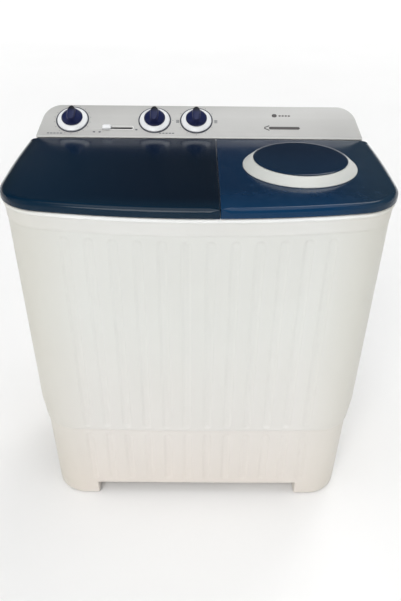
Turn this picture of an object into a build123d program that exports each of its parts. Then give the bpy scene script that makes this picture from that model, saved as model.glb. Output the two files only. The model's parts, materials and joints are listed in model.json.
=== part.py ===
"""Twin tub washer: a wash tub with a belt-driven pulsator beside a direct-driven spin basket.

Frame: millimetres, +X to the right as seen from the front, +Y to the back, +Z up. The origin is
on the floor, under the middle of the machine's box. Each function makes one sub-part or a small
family of them, and the end of the file writes one STEP for each node.
"""

from build123d import *

import os
from math import atan2, cos, degrees, pi, radians, sin, sqrt

# ---------------------------------------------------------------- driving dimensions
WIDTH = 842.0  # across the lids, at their widest
DEPTH = 536.0  # bowed front edge of the lids to the tips of the hose spigots
FRONT = -DEPTH / 2  # y of the lids' front edge, on the middle
SPIGOT_REACH = 20.0  # the hose spigots stand this far behind the casing
REAR = DEPTH / 2 - SPIGOT_REACH  # y of the casing's rear wall

PAD_H = 3.0  # rubber pads under the feet
FOOT_H = 45.0  # clear height under the base, between the feet
BASE_TOP = 255.0
KNEE_Z = 318.0  # the side walls lean in more steeply below this height
DECK_BOTTOM = 829.0
DECK_TOP = 866.0
RIM_TOP = 870.0
LID_BOTTOM = 872.0
LID_TOP = 892.0
WALL = 3.5  # casing wall
TUB_WALL = 3.0
PLATE = 3.0  # deck plate and control panel

# Plan outline of the casing at each level: height, half width, y of the front's middle, how far
# the front's ends lie behind its middle, front corner radius, and how far the sides bulge.
LEVELS = {
    "lid": (LID_BOTTOM, WIDTH / 2, FRONT, 49.0, 108.0, 8.0),
    "rim": (RIM_TOP, WIDTH / 2 - 1, FRONT + 3, 47.0, 110.0, 8.0),
    "deck_bottom": (DECK_BOTTOM, WIDTH / 2 - 4, FRONT + 8, 44.0, 108.0, 8.0),
    "cabinet_top": (DECK_BOTTOM, WIDTH / 2 - 7, FRONT + 11, 44.0, 106.0, 8.0),
    "cabinet_knee": (KNEE_Z, WIDTH / 2 - 16, FRONT + 47.5, 12.8, 92.0, 5.3),
    "cabinet_bottom": (BASE_TOP, WIDTH / 2 - 23, FRONT + 52, 9.0, 90.0, 5.0),
    "base_top": (BASE_TOP, WIDTH / 2 - 26, FRONT + 56, 9.0, 88.0, 5.0),
    "base_bottom": (PAD_H, WIDTH / 2 - 31, FRONT + 71, 1.0, 84.0, 4.0),
}
REAR_CORNER_R = 30.0

LID_SPLIT_X = 41.0  # the gap between the two lids
LID_GAP = 2.0
LID_WALL = 3.0
LID_REAR = 148.0
LID_REAR_THICK = 6.0
HINGE_Y = 138.0
HINGE_Z = 879.0

CONSOLE_FRONT = 155.0
CONSOLE_REAR = 245.0
CONSOLE_HALF_FRONT = 407.0
CONSOLE_HALF_REAR = 387.0
CONSOLE_CORNER_R = 46.0
PANEL_RISE = 54.0
PANEL_SLOPE = degrees(atan2(PANEL_RISE, CONSOLE_REAR - CONSOLE_FRONT))

WASH_X = -180.0  # pulsator axis
SPIN_X = 224.0  # basket axis
AXIS_Y = -33.0
RUN = 0.05  # running clearance of a shaft in its bearing

FLUTE_PITCH = 50.0
FLUTE_W = 21.0
FLUTE_DEPTH = 2.2
FRONT_FLUTES = 12
SIDE_FLUTES = 5
SIDE_FLUTE_Y = -3.0  # y of the middle flute of each side
CABINET_FLUTE_Z = (266.0, 818.0)
BASE_FLUTE_Z = (62.0, 243.0)
RIM_W = 9.0  # width of the raised rim around the deck

DRAIN_X = -113.0
DRAIN_Y = 190.0
PUMP_OUT_Z = 120.0

parts = {}


# ---------------------------------------------------------------- shared helpers
def outline(level, inset=0.0, z=None):
    """Plan outline of the casing at a level, taken in by inset."""
    height, half, front, bow, corner, bulge = LEVELS[level]
    end = half - bulge - inset
    y_front = front + bow + inset
    y_back = REAR - inset
    y_mid = (y_front + y_back) / 2
    edges = [
        ThreePointArc((-end, y_front), (0, front + inset), (end, y_front)),
        ThreePointArc((end, y_front), (half - inset, y_mid), (end, y_back)),
        Line((end, y_back), (-end, y_back)),
        ThreePointArc((-end, y_back), (inset - half, y_mid), (-end, y_front)),
    ]
    face = make_face(edges)
    by_depth = face.vertices().sort_by(Axis.Y)
    face = fillet(by_depth[:2], corner - inset)
    rear_pair = [v for v in face.vertices() if v.Y > y_back - 1]
    face = fillet(rear_pair, max(REAR_CORNER_R - inset, 1.0))
    return Pos(0, 0, height if z is None else z) * face


def casing(*levels, inset=0.0):
    """The casing's outer form from level to level, as a ruled solid."""
    return loft([outline(level, inset) for level in levels], ruled=True)


def slab(x0, x1, y0, y1, z0, z1):
    """A box given by its corners."""
    size = (x1 - x0, y1 - y0, z1 - z0)
    return Pos((x0 + x1) / 2, (y0 + y1) / 2, (z0 + z1) / 2) * Box(*size)


def rod(x, y, z0, z1, radius, bore=0.0):
    """An upright round bar or tube."""
    middle = Pos(x, y, (z0 + z1) / 2)
    body = middle * Cylinder(radius, z1 - z0)
    if bore:
        body -= middle * Cylinder(bore, z1 - z0 + 2)
    return body


def turned(profile, x=0.0, y=0.0):
    """A solid of revolution about an upright axis, from (radius, height) points."""
    face = make_face(Plane.XZ * Polyline(*profile, close=True))
    return Pos(x, y, 0) * revolve(face, Axis.Z)


def round_rect(x0, x1, y0, y1, radius, z):
    """A rounded rectangle at height z, given by its corners."""
    sketch = RectangleRounded(x1 - x0, y1 - y0, radius)
    return Pos((x0 + x1) / 2, (y0 + y1) / 2, z) * sketch


def front_y(x, z, low, high):
    """The y of the casing's front wall at x and z."""
    z0, half0, y0, bow0, _, bulge0 = LEVELS[low]
    z1, half1, y1, bow1, _, bulge1 = LEVELS[high]
    share = (z - z0) / (z1 - z0)
    ends = []
    for half, y, bow, bulge in ((half0, y0, bow0, bulge0), (half1, y1, bow1, bulge1)):
        chord = half - bulge
        radius = (chord**2 + bow**2) / (2 * bow)
        ends.append(y + radius - sqrt(radius**2 - x**2))
    return ends[0] + share * (ends[1] - ends[0])


def side_x(y, z, low, high):
    """The x of the casing's right wall at y and z."""
    z0, half0, y0, bow0, _, bulge0 = LEVELS[low]
    z1, half1, y1, bow1, _, bulge1 = LEVELS[high]
    share = (z - z0) / (z1 - z0)
    ends = []
    for half, front, bow, bulge in ((half0, y0, bow0, bulge0), (half1, y1, bow1, bulge1)):
        chord = (REAR - front - bow) / 2
        middle = (REAR + front + bow) / 2
        radius = (chord**2 + bulge**2) / (2 * bulge)
        ends.append(half - radius + sqrt(radius**2 - (y - middle) ** 2))
    return ends[0] + share * (ends[1] - ends[0])


def front_flutes(z0, z1, low, high):
    """Cutters for the shallow upright flutes in the front wall between z0 and z1."""
    cutters = []
    middle = (z0 + z1) / 2
    step = 5.0
    sketch = Rot(0, 0, 90) * SlotOverall(z1 - z0, FLUTE_W)
    for n in range(FRONT_FLUTES):
        x = (n - (FRONT_FLUTES - 1) / 2) * FLUTE_PITCH
        y = front_y(x, middle, low, high)
        along = Vector(step, front_y(x + step, middle, low, high) - y, 0)
        up = Vector(0, front_y(x, middle + step, low, high) - y, step)
        plane = Plane(origin=(x, y, middle), x_dir=along, z_dir=along.cross(up))
        cutters.append(extrude(plane * sketch, FLUTE_W, dir=plane.z_dir))
        cutters.append(extrude(plane * sketch, -FLUTE_DEPTH, dir=plane.z_dir))
    return cutters


def side_flutes(z0, z1, low, high):
    """Cutters for the flutes in both side walls between z0 and z1."""
    cutters = []
    middle = (z0 + z1) / 2
    step = 5.0
    sketch = Rot(0, 0, 90) * SlotOverall(z1 - z0, FLUTE_W)
    for n in range(SIDE_FLUTES):
        y = SIDE_FLUTE_Y + (n - (SIDE_FLUTES - 1) / 2) * FLUTE_PITCH
        x = side_x(y, middle, low, high)
        along = Vector(side_x(y + step, middle, low, high) - x, step, 0)
        up = Vector(side_x(y, middle + step, low, high) - x, 0, step)
        plane = Plane(origin=(x, y, middle), x_dir=along, z_dir=along.cross(up))
        pair = [
            extrude(plane * sketch, FLUTE_W, dir=plane.z_dir),
            extrude(plane * sketch, -FLUTE_DEPTH, dir=plane.z_dir),
        ]
        cutters += pair
        cutters += [cutter.mirror(Plane.YZ) for cutter in pair]
    return cutters


# ---------------------------------------------------------------- casing
FOOT_X = 268.0  # inner edge of a foot, from the middle
FOOT_FRONT_Y = -98.0  # back edge of the front feet
FOOT_REAR_Y = 150.0  # front edge of the rear feet
FLOOR_TOP = FOOT_H + 4.0
SERVICE_HOLE = (-262.0, 70.0, -148.0, 122.0)  # under the wash drive
BASE_WALL = 3.5
FOOT_SPOTS = [(-335, -130), (335, -130), (-345, 200), (345, 200)]
PAD_R = 20.0


def make_base():
    """Plinth with four corner feet, a floor for the spin drive and a service hole below the belt."""
    base = casing("base_bottom", "base_top")
    under = FOOT_H + 50
    base -= slab(-FOOT_X, FOOT_X, -DEPTH, DEPTH, -50, FOOT_H)
    base -= slab(-WIDTH, WIDTH, FOOT_FRONT_Y, FOOT_REAR_Y, FOOT_H - under, FOOT_H)
    inner = casing("base_bottom", "base_top", inset=BASE_WALL)
    base -= inner & slab(-WIDTH, WIDTH, -DEPTH, DEPTH, FLOOR_TOP, BASE_TOP + 1)
    cup_floor = PAD_H + 4
    for side in (-1, 1):
        x0, x1 = sorted((side * (FOOT_X + BASE_WALL), side * WIDTH))
        for y0, y1 in (
            (-DEPTH, FOOT_FRONT_Y - BASE_WALL),
            (FOOT_REAR_Y + BASE_WALL, DEPTH),
        ):
            base -= inner & slab(x0, x1, y0, y1, cup_floor, FLOOR_TOP + 1)
    base -= slab(*SERVICE_HOLE, FOOT_H - 1, FLOOR_TOP + 1)
    ends = (*BASE_FLUTE_Z, "base_bottom", "base_top")
    for cutter in front_flutes(*ends) + side_flutes(*ends):
        base -= cutter
    hole = Pos(DRAIN_X, REAR, PUMP_OUT_Z) * Rot(90, 0, 0) * Cylinder(15.5, 20)
    parts["base"] = base - hole
    pads = [rod(x, y, 0, PAD_H, PAD_R) for x, y in FOOT_SPOTS]
    parts["foot_pads"] = Compound(children=pads)


BACK_OPENING = (-335.0, 335.0, 275.0, 760.0)  # x and z of the service opening
PANEL_LAP = 14.0
SCREW_ROWS = (290.0, 515.0, 740.0)


def make_cabinet():
    """Wrap-around cabinet with fluted front and sides, and the cover of its rear opening."""
    levels = ("cabinet_bottom", "cabinet_knee", "cabinet_top")
    cabinet = casing(*levels) - casing(*levels, inset=WALL)
    low, top = CABINET_FLUTE_Z
    cutters = front_flutes(low, top, "cabinet_bottom", "cabinet_top")
    for cutter in cutters + side_flutes(KNEE_Z + 12, top, "cabinet_knee", "cabinet_top"):
        cabinet -= cutter
    x0, x1, z0, z1 = BACK_OPENING
    cabinet -= slab(x0, x1, REAR - 10, REAR + 5, z0, z1)
    lap = PANEL_LAP
    cover = slab(x0 - lap, x1 + lap, REAR, REAR + 2, z0 - lap, z1 + lap)
    for row in range(9):
        z = 600 + row * 14
        cover -= slab(150, 290, REAR - 1, REAR + 3, z, z + 5)
        cover -= slab(-290, -150, REAR - 1, REAR + 3, z, z + 5)
    screws = []
    for side in (-1, 1):
        for z in SCREW_ROWS:
            x = side * (x1 + lap / 2)
            place = Pos(x, REAR, z) * Rot(90, 0, 0)
            hole = place * Cylinder(1.8, 14)
            cover -= hole
            cabinet -= hole
            shank = Pos(x, REAR - 1.5, z) * Rot(90, 0, 0) * Cylinder(1.5, 7)
            head = Pos(x, REAR + 3.25, z) * Rot(90, 0, 0) * Cylinder(4, 2.5)
            screws.append(shank + head)
    parts["cabinet"] = cabinet
    parts["back_panel"] = cover
    parts["back_panel_screws"] = Compound(children=screws)


# Wash tub: outer size at the rim and at the floor.
TUB_TOP = (-394.0, 34.0, -202.0, 136.0, 60.0)
TUB_BOTTOM = (-376.0, 16.0, -190.0, 124.0, 40.0)
TUB_FLOOR = 327.0
FLANGE_TOP = DECK_TOP - PLATE
FLANGE = 6.0
FLANGE_T = 3.0
SPIN_TUB_R = 168.0
SPIN_FLOOR = 345.0
MOUTH_R = 158.0
LUG_W = 8.0
LUG_R = 4.6
PIN_R = 2.5
PIN_LEN = 24.0
KNUCKLE_R = 4.6
WASH_HINGES = (-384.0, 12.0)
SPIN_HINGES = (66.0, 384.0)


def tub_outline(size, inset, z):
    x0, x1, y0, y1, radius = size
    return round_rect(x0 + inset, x1 - inset, y0 + inset, y1 - inset, radius - inset, z)


def make_deck():
    """Top frame: skirt, plate with a mouth over each tub, lid rim and hinge lugs."""
    deck = casing("deck_bottom", "rim")
    deck -= casing("deck_bottom", "rim", inset=WALL) & slab(
        -WIDTH, WIDTH, -DEPTH, DEPTH, DECK_BOTTOM - 1, DECK_TOP - PLATE
    )
    recess = casing("deck_bottom", "rim", inset=RIM_W)
    deck -= recess & slab(-WIDTH, WIDTH, -DEPTH, DEPTH, DECK_TOP, RIM_TOP + 1)
    mouth = tub_outline(TUB_TOP, 8.0, FLANGE_TOP - 1)
    deck -= extrude(mouth, 10)
    deck -= rod(SPIN_X, AXIS_Y, FLANGE_TOP - 1, DECK_TOP + 1, MOUTH_R)
    deck -= slab(-300, 90, 172, 232, FLANGE_TOP - 1, DECK_TOP + 1)
    deck -= extrude(Pos(0, 0, DECK_TOP) * console_plan(), RIM_TOP)
    # the rim is lowered where the lids' rear corners swing down past it
    deck -= slab(-WIDTH, WIDTH, HINGE_Y - 12, CONSOLE_FRONT, DECK_TOP, RIM_TOP + 1)
    for pair in (WASH_HINGES, SPIN_HINGES):
        for n, x in enumerate(pair):
            # the lug stands outboard of the lid's knuckle
            outboard = x - LUG_W - 0.5 if n == 0 else x + LUG_W + 0.5
            x0, x1 = outboard - LUG_W / 2, outboard + LUG_W / 2
            post = slab(x0, x1, HINGE_Y - LUG_R, HINGE_Y + LUG_R, DECK_TOP, HINGE_Z)
            eye = Pos(outboard, HINGE_Y, HINGE_Z) * Rot(0, 90, 0) * Cylinder(LUG_R, LUG_W)
            hole = Pos(outboard, HINGE_Y, HINGE_Z) * Rot(0, 90, 0)
            deck += post + eye
            deck -= hole * Cylinder(PIN_R + RUN, LUG_W + 2)
    parts["top_deck"] = deck


def make_tubs():
    """Wash tub, lint filter and outer spin tub, all hung under the deck plate."""
    outer = loft([tub_outline(TUB_BOTTOM, 0, TUB_FLOOR), tub_outline(TUB_TOP, 0, FLANGE_TOP)])
    cavity = loft(
        [
            tub_outline(TUB_BOTTOM, TUB_WALL, TUB_FLOOR + TUB_WALL),
            tub_outline(TUB_TOP, TUB_WALL, FLANGE_TOP),
        ]
    )
    flange_z = FLANGE_TOP - FLANGE_T
    flange = extrude(tub_outline(TUB_TOP, -FLANGE, flange_z), FLANGE_T)
    tub = outer + flange - cavity
    tub -= rod(WASH_X, AXIS_Y, TUB_FLOOR - 1, TUB_FLOOR + TUB_WALL + 1, SHAFT_R + 3)
    tub -= rod(DRAIN_X, DUCT_Y, TUB_FLOOR - 1, TUB_FLOOR + TUB_WALL + 1, 11)
    parts["wash_tub"] = tub
    frame = slab(6, 40, -75, 5, 500, 640)
    mesh = slab(2, 12, -66, -4, 512, 628)
    parts["lint_filter"] = (frame & cavity) - mesh

    top, floor, wall = FLANGE_TOP, SPIN_FLOOR, TUB_WALL
    outer_r, inner_r = SPIN_TUB_R, SPIN_TUB_R - TUB_WALL
    profile = [
        (SEAL_R, floor),
        (outer_r, floor),
        (outer_r, top - FLANGE_T),
        (outer_r + FLANGE, top - FLANGE_T),
        (outer_r + FLANGE, top),
        (inner_r, top),
        (inner_r, floor + wall),
        (SEAL_R, floor + wall),
    ]
    spin_tub = turned(profile, SPIN_X, AXIS_Y)
    spin_tub -= rod(SPIN_DRAIN[0], SPIN_DRAIN[1], floor - 1, floor + wall + 1, 7)
    parts["spin_tub"] = spin_tub


# ---------------------------------------------------------------- lids
def lid_blank(inset=0.0):
    """The two lids' joined outline as a plate from the skirt's foot to the top."""
    face = outline("lid", inset)
    return extrude(face, LID_TOP - LID_BOTTOM)


def hinge_set(positions):
    """The lid's knuckles and their pins, at two places along the hinge line."""
    knuckles, pins = [], []
    for n, x in enumerate(positions):
        place = Pos(x, HINGE_Y, HINGE_Z) * Rot(0, 90, 0)
        width = 8.0
        knuckle = place * Cylinder(KNUCKLE_R, width)
        arm = slab(x - width / 2, x + width / 2, HINGE_Y - 4, HINGE_Y + 4, HINGE_Z, LID_TOP - 3)
        knuckles.append(knuckle + arm - place * Cylinder(PIN_R, width + 2))
        toward = -1 if n == 0 else 1
        middle = x + toward * (PIN_LEN / 2 - width / 2)
        pins.append(Pos(middle, HINGE_Y, HINGE_Z) * Rot(0, 90, 0) * Cylinder(PIN_R, PIN_LEN))
    return knuckles, pins


def lid_shell(x0, x1):
    """One lid: a top plate with a skirt all round except along the hinge."""
    blank = lid_blank() & slab(x0, x1, -DEPTH, LID_REAR, LID_BOTTOM - 1, LID_TOP + 1)
    top_edges = blank.faces().sort_by(Axis.Z)[-1].edges()
    blank = fillet([e for e in top_edges if e.center().Y < LID_REAR - 1], 5.0)
    hollow = lid_blank(LID_WALL) & slab(
        x0 + LID_WALL, x1 - LID_WALL, -DEPTH, LID_REAR + 20, LID_BOTTOM - 1, LID_TOP - LID_WALL
    )
    rear_keep = slab(
        x0 - 1, x1 + 1, LID_REAR - 4, LID_REAR + 30, LID_TOP - LID_REAR_THICK, LID_TOP
    )
    rear_cut = slab(
        x0 - 1, x1 + 1, HINGE_Y - 16, LID_REAR + 30, LID_BOTTOM - 1, LID_TOP - LID_REAR_THICK
    )
    return blank - (hollow - rear_keep) - rear_cut


RING_R = 127.0
WINDOW_R = 105.0
WINDOW_TOP = LID_TOP + 22.0


def make_lids():
    """Wash lid, and spin lid with its flared ring and domed window."""
    left = -WIDTH
    wash = lid_shell(left, LID_SPLIT_X - LID_GAP / 2)
    knuckles, pins = hinge_set(WASH_HINGES)
    for knuckle in knuckles:
        wash += knuckle
    parts["wash_lid"] = wash
    parts["wash_lid_pins"] = Compound(children=pins)

    spin = lid_shell(LID_SPLIT_X + LID_GAP / 2, WIDTH)
    spin -= rod(SPIN_X, AXIS_Y, LID_TOP - 10, LID_TOP + 1, WINDOW_R - 4)
    knuckles, pins = hinge_set(SPIN_HINGES)
    for knuckle in knuckles:
        spin += knuckle
    parts["spin_lid"] = spin
    parts["spin_lid_pins"] = Compound(children=pins)

    ring_foot, ring_top, wall = LID_TOP, LID_TOP + 18.0, 3.0
    ring = [
        (RING_R, ring_foot),
        (RING_R, ring_foot + 2),
        (WINDOW_R + 3, ring_top),
        (WINDOW_R - 4, ring_top),
        (WINDOW_R - 4, ring_top - wall),
        (WINDOW_R + 1, ring_top - wall),
        (RING_R - wall, ring_foot),
    ]
    parts["spin_lid_ring"] = turned(ring, SPIN_X, AXIS_Y)
    window = [
        (0, ring_top),
        (WINDOW_R, ring_top),
        (WINDOW_R, ring_top + 1.5),
        (WINDOW_R - 3, ring_top + 3),
        (WINDOW_R - 40, WINDOW_TOP - 0.6),
        (0, WINDOW_TOP),
    ]
    parts["spin_lid_window"] = turned(window, SPIN_X, AXIS_Y)


# ---------------------------------------------------------------- console
PANEL = Plane(
    origin=(0, CONSOLE_FRONT, LID_TOP),
    x_dir=(1, 0, 0),
    z_dir=(0, -sin(radians(PANEL_SLOPE)), cos(radians(PANEL_SLOPE))),
)
DIAL_S = 56.0  # up the slope from the panel's front edge
DIALS = {"wash_timer": -320.0, "drain_selector": -113.0, "spin_timer": -8.0}
DIAL_R = 41.0
SKIRT_R = 38.0
CAP_R = 26.5
CAP_FOOT = 8.0
GRIP_TOP = 29.0
SHAFT_DIAL_R = 3.0
SLOT_S = 30.0
SLOT_X = (-238.0, -168.0)
SLOT_W = 5.0
SELECTOR_X = -232.0
INLET_X = -203.0
INLET_Z = 898.0
INLET_R = 9.5
CONSOLE_WALL = 3.0
COLLAR_T = 2.5  # collars of the hose spigots


def on_panel(x, s, off=0.0):
    """A place on the control panel: across, up the slope, and out along its normal."""
    return PANEL.location * Pos(x, s, off)


def console_plan(inset=0.0):
    """The console's plan outline, narrower at the back and round at its rear corners."""
    front, rear = CONSOLE_FRONT + inset, CONSOLE_REAR - inset
    a, b = CONSOLE_HALF_FRONT - inset, CONSOLE_HALF_REAR - inset
    face = make_face(Polyline((-a, front), (a, front), (b, rear), (-b, rear), close=True))
    back = [v for v in face.vertices() if v.Y > rear - 1]
    return fillet(back, CONSOLE_CORNER_R - inset)


def panel_layer(low, high):
    """A big slab between two offsets from the panel's face."""
    return on_panel(0, 50, (low + high) / 2) * Box(3 * WIDTH, 400, high - low)


def make_console():
    """Console housing, control panel and the fixed dial rings on it."""
    tall = 120
    outer = extrude(Pos(0, 0, DECK_TOP) * console_plan(), tall)
    inner = extrude(Pos(0, 0, DECK_TOP - 1) * console_plan(CONSOLE_WALL), tall + 2)
    housing = outer - inner - panel_layer(-PLATE, 200)
    inlet_hole = Pos(INLET_X, CONSOLE_REAR, INLET_Z) * Rot(90, 0, 0) * Cylinder(INLET_R + 0.5, 20)
    parts["console_housing"] = housing - inlet_hole

    panel = outer & panel_layer(-PLATE, 0)
    slot_mid = (SLOT_X[0] + SLOT_X[1]) / 2
    slot_len = SLOT_X[1] - SLOT_X[0]
    panel -= on_panel(slot_mid, SLOT_S, -PLATE) * Box(slot_len, SLOT_W, 3 * PLATE)
    panel -= on_panel(slot_mid, SLOT_S, 0) * Box(slot_len + 8, SLOT_W + 10, 2.0)
    rings = []
    for x in DIALS.values():
        panel -= on_panel(x, DIAL_S, 0) * Cylinder(SHAFT_DIAL_R + 1.5, 4 * PLATE)
        place = on_panel(x, DIAL_S, 0.6)
        rings.append(place * Cylinder(DIAL_R, 1.2) - place * Cylinder(SKIRT_R + 0.5, 4))
    parts["control_panel"] = panel
    parts["dial_rings"] = Compound(children=rings)


def make_dial(name, x):
    """A knob: white skirt, blue cap with a grip bar, and the shaft it drives."""
    skirt_profile = [
        (SHAFT_DIAL_R + 2, CAP_FOOT - 2),
        (SKIRT_R - 12, CAP_FOOT - 2),
        (SKIRT_R - 3, 0.6),
        (SKIRT_R, 0.6),
        (SKIRT_R, 2.2),
        (CAP_R + 1.5, CAP_FOOT),
        (SHAFT_DIAL_R + 2, CAP_FOOT),
    ]
    place = on_panel(x, DIAL_S)
    parts[f"{name}_skirt"] = place * turned(skirt_profile)
    cap_profile = [
        (0, CAP_FOOT),
        (CAP_R, CAP_FOOT),
        (CAP_R, CAP_FOOT + 2),
        (CAP_R - 3, CAP_FOOT + 5.5),
        (0, CAP_FOOT + 7),
    ]
    cap = turned(cap_profile)
    foot = Pos(0, 0, CAP_FOOT + 3) * RectangleRounded(22, 46, 9)
    crown = Pos(0, 0, GRIP_TOP) * RectangleRounded(11, 39, 5)
    cap += loft([foot, crown])
    cap -= Pos(0, 0, CAP_FOOT + 5) * Cylinder(SHAFT_DIAL_R, 10.01)
    parts[f"{name}_knob"] = place * cap
    shaft_foot, shaft_top = -22.0, CAP_FOOT + 9.5
    middle = (shaft_foot + shaft_top) / 2
    shaft = Pos(0, 0, middle) * Cylinder(SHAFT_DIAL_R, shaft_top - shaft_foot)
    parts[f"{name}_shaft"] = place * shaft
    body = Pos(0, 0, -18) * Box(46, 38, 24)
    body += Pos(0, 0, -4.5) * Box(20, 34, 3)
    body -= Pos(0, 0, -13) * Cylinder(SHAFT_DIAL_R + RUN, 22)
    return place * body


def make_controls():
    """The three dials with what they turn, and the water selector with its inlet."""
    for name, x in DIALS.items():
        below = "drain_cam_box" if name == "drain_selector" else name
        parts[below] = make_dial(name, x)
    tab = on_panel(SELECTOR_X, SLOT_S, 3.6) * Box(22, 13, 6)
    tab = chamfer(tab.faces().sort_by(Axis((0, 0, 0), PANEL.z_dir))[-1].edges(), 1.5)
    stem = on_panel(SELECTOR_X, SLOT_S, -5.7) * Box(8, SLOT_W - 1, 12.8)
    parts["water_selector"] = tab + stem
    spigot_in = 232.0
    box = slab(INLET_X - 36, INLET_X + 36, 202, spigot_in, 880, 912)
    bore = Pos(INLET_X, spigot_in - 5, INLET_Z) * Rot(90, 0, 0) * Cylinder(7, 12)
    parts["inlet_box"] = (box & panel_layer(-80, -PLATE - 1)) - bore
    length = DEPTH / 2 - spigot_in
    place = Pos(INLET_X, (DEPTH / 2 + spigot_in) / 2, INLET_Z) * Rot(90, 0, 0)
    collar_y = CONSOLE_REAR + COLLAR_T / 2
    collar = Pos(INLET_X, collar_y, INLET_Z) * Rot(90, 0, 0) * Cylinder(INLET_R + 5, COLLAR_T)
    spigot = place * Cylinder(INLET_R, length) + collar
    parts["water_inlet"] = spigot - place * Cylinder(INLET_R - 2.5, length + 2)


# ---------------------------------------------------------------- wash drive
SHAFT_R = 8.0
PULSATOR_R = 147.0
PULSATOR_FOOT = 335.0
PULLEY_Z = 222.0
PULLEY_H = 18.0
PULLEY_R = 95.0
PULLEY_GROOVE_R = 88.0
MOTOR_PULLEY_R = 24.0
MOTOR_GROOVE_R = 17.0
BELT_T = 5.6
BELT_H = 8.0
BELT_FREE = 0.4
MOTOR_X = -25.0
MOTOR_Y = 47.0
DUCT_Y = 85.0


def pulley(x, y, radius, groove, bore):
    """A V-belt pulley, drawn with a square groove."""
    low, high = PULLEY_Z - PULLEY_H / 2, PULLEY_Z + PULLEY_H / 2
    side = BELT_H / 2 + 1
    profile = [
        (bore, low),
        (radius, low),
        (radius, PULLEY_Z - side),
        (groove, PULLEY_Z - side),
        (groove, PULLEY_Z + side),
        (radius, PULLEY_Z + side),
        (radius, high),
        (bore, high),
    ]
    return turned(profile, x, y)


def make_pulsator():
    """Pulsator with six vanes, its shaft and the large pulley."""
    foot = PULSATOR_FOOT
    disc_profile = [
        (0, foot),
        (PULSATOR_R, foot),
        (PULSATOR_R, foot + 3),
        (PULSATOR_R - 20, foot + 5),
        (60, foot + 10),
        (34, foot + 24),
        (22, foot + 30),
        (0, foot + 32),
    ]
    pulsator = turned(disc_profile, WASH_X, AXIS_Y)
    vane_mid, vane_len, vane_w, vane_foot, vane_top = 76.0, 100.0, 14.0, foot + 2, foot + 20
    vane = extrude(Pos(vane_mid, 0, vane_foot) * SlotOverall(vane_len, vane_w), vane_top - vane_foot)
    for n in range(6):
        pulsator += Pos(WASH_X, AXIS_Y, 0) * Rot(0, 0, 60 * n) * vane
    pulsator -= rod(WASH_X, AXIS_Y, foot - 1, foot + 22, SHAFT_R)
    parts["pulsator"] = pulsator
    parts["pulsator_shaft"] = rod(WASH_X, AXIS_Y, 206, foot + 21.5, SHAFT_R)
    wheel = pulley(WASH_X, AXIS_Y, PULLEY_R, PULLEY_GROOVE_R, SHAFT_R)
    for n in range(5):
        place = Pos(WASH_X, AXIS_Y, PULLEY_Z) * Rot(0, 0, 72 * n) * Pos(54, 0, 0)
        wheel -= place * Cylinder(20, 30)
    parts["drive_pulley"] = wheel


def make_gearbox():
    """Bearing housing under the wash tub, with its two bushes."""
    low, high = 243.0, TUB_FLOOR
    bore = SHAFT_R + 5
    profile = [
        (bore, low),
        (34, low),
        (46, low + 14),
        (46, high - 6),
        (78, high - 6),
        (78, high),
        (bore, high),
    ]
    parts["shaft_housing"] = turned(profile, WASH_X, AXIS_Y)
    bushes = [rod(WASH_X, AXIS_Y, z, z + 16, bore, SHAFT_R + RUN) for z in (low, high - 16)]
    parts["shaft_bushes"] = Compound(children=bushes)


def make_wash_motor():
    """Wash motor on rubber mounts and a steel rail, its pulley, and the belt."""
    rail_top = FLOOR_TOP + 3
    rail = slab(-85, 35, -168, 146, FLOOR_TOP, rail_top)
    for x0 in (-85, 32):
        rail += slab(x0, x0 + 3, -168, 146, rail_top, rail_top + 12)
    mount_h, lug_t = 10.0, 4.0
    lug_z = rail_top + mount_h
    body_z, top = lug_z + lug_t, 190.0
    profile = [
        (6 + RUN, body_z),
        (50, body_z),
        (62, body_z + 24),
        (62, top - 26),
        (50, top),
        (6 + RUN, top),
    ]
    motor = turned(profile, MOTOR_X, MOTOR_Y)
    motor += Pos(MOTOR_X, MOTOR_Y, lug_z + lug_t / 2) * Box(108, 108, lug_t)
    motor -= rod(MOTOR_X, MOTOR_Y, lug_z - 1, top + 1, 6 + RUN)
    mounts, bolts = [], []
    for dx in (-44, 44):
        for dy in (-44, 44):
            x, y = MOTOR_X + dx, MOTOR_Y + dy
            hole = rod(x, y, FLOOR_TOP - 1, body_z + 1, 4)
            rail -= hole
            motor -= hole
            mounts.append(rod(x, y, rail_top, lug_z, 9, 4))
            shank = rod(x, y, FLOOR_TOP - 6, body_z + 6, 3.5)
            nut = Pos(x, y, FLOOR_TOP - 3) * extrude(RegularPolygon(6.5, 6), 3)
            head = Pos(x, y, body_z) * extrude(RegularPolygon(6.5, 6), 4)
            bolts.append(shank + head + nut)
    parts["motor_rail"] = rail
    parts["wash_motor"] = motor
    parts["motor_mounts"] = Compound(children=mounts)
    parts["motor_bolts"] = Compound(children=bolts)
    parts["motor_shaft"] = rod(MOTOR_X, MOTOR_Y, 150, PULLEY_Z + PULLEY_H / 2, 6)
    parts["motor_pulley"] = pulley(MOTOR_X, MOTOR_Y, MOTOR_PULLEY_R, MOTOR_GROOVE_R, 6)

    def loop(extra):
        big = Pos(WASH_X, AXIS_Y) * Circle(PULLEY_GROOVE_R + extra)
        small = Pos(MOTOR_X, MOTOR_Y) * Circle(MOTOR_GROOVE_R + extra)
        return make_hull(big.edges() + small.edges())

    low = Pos(0, 0, PULLEY_Z - BELT_H / 2)
    belt = extrude(low * loop(BELT_FREE + BELT_T), BELT_H)
    belt -= extrude(low * loop(BELT_FREE), BELT_H)
    parts["drive_belt"] = belt


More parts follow.
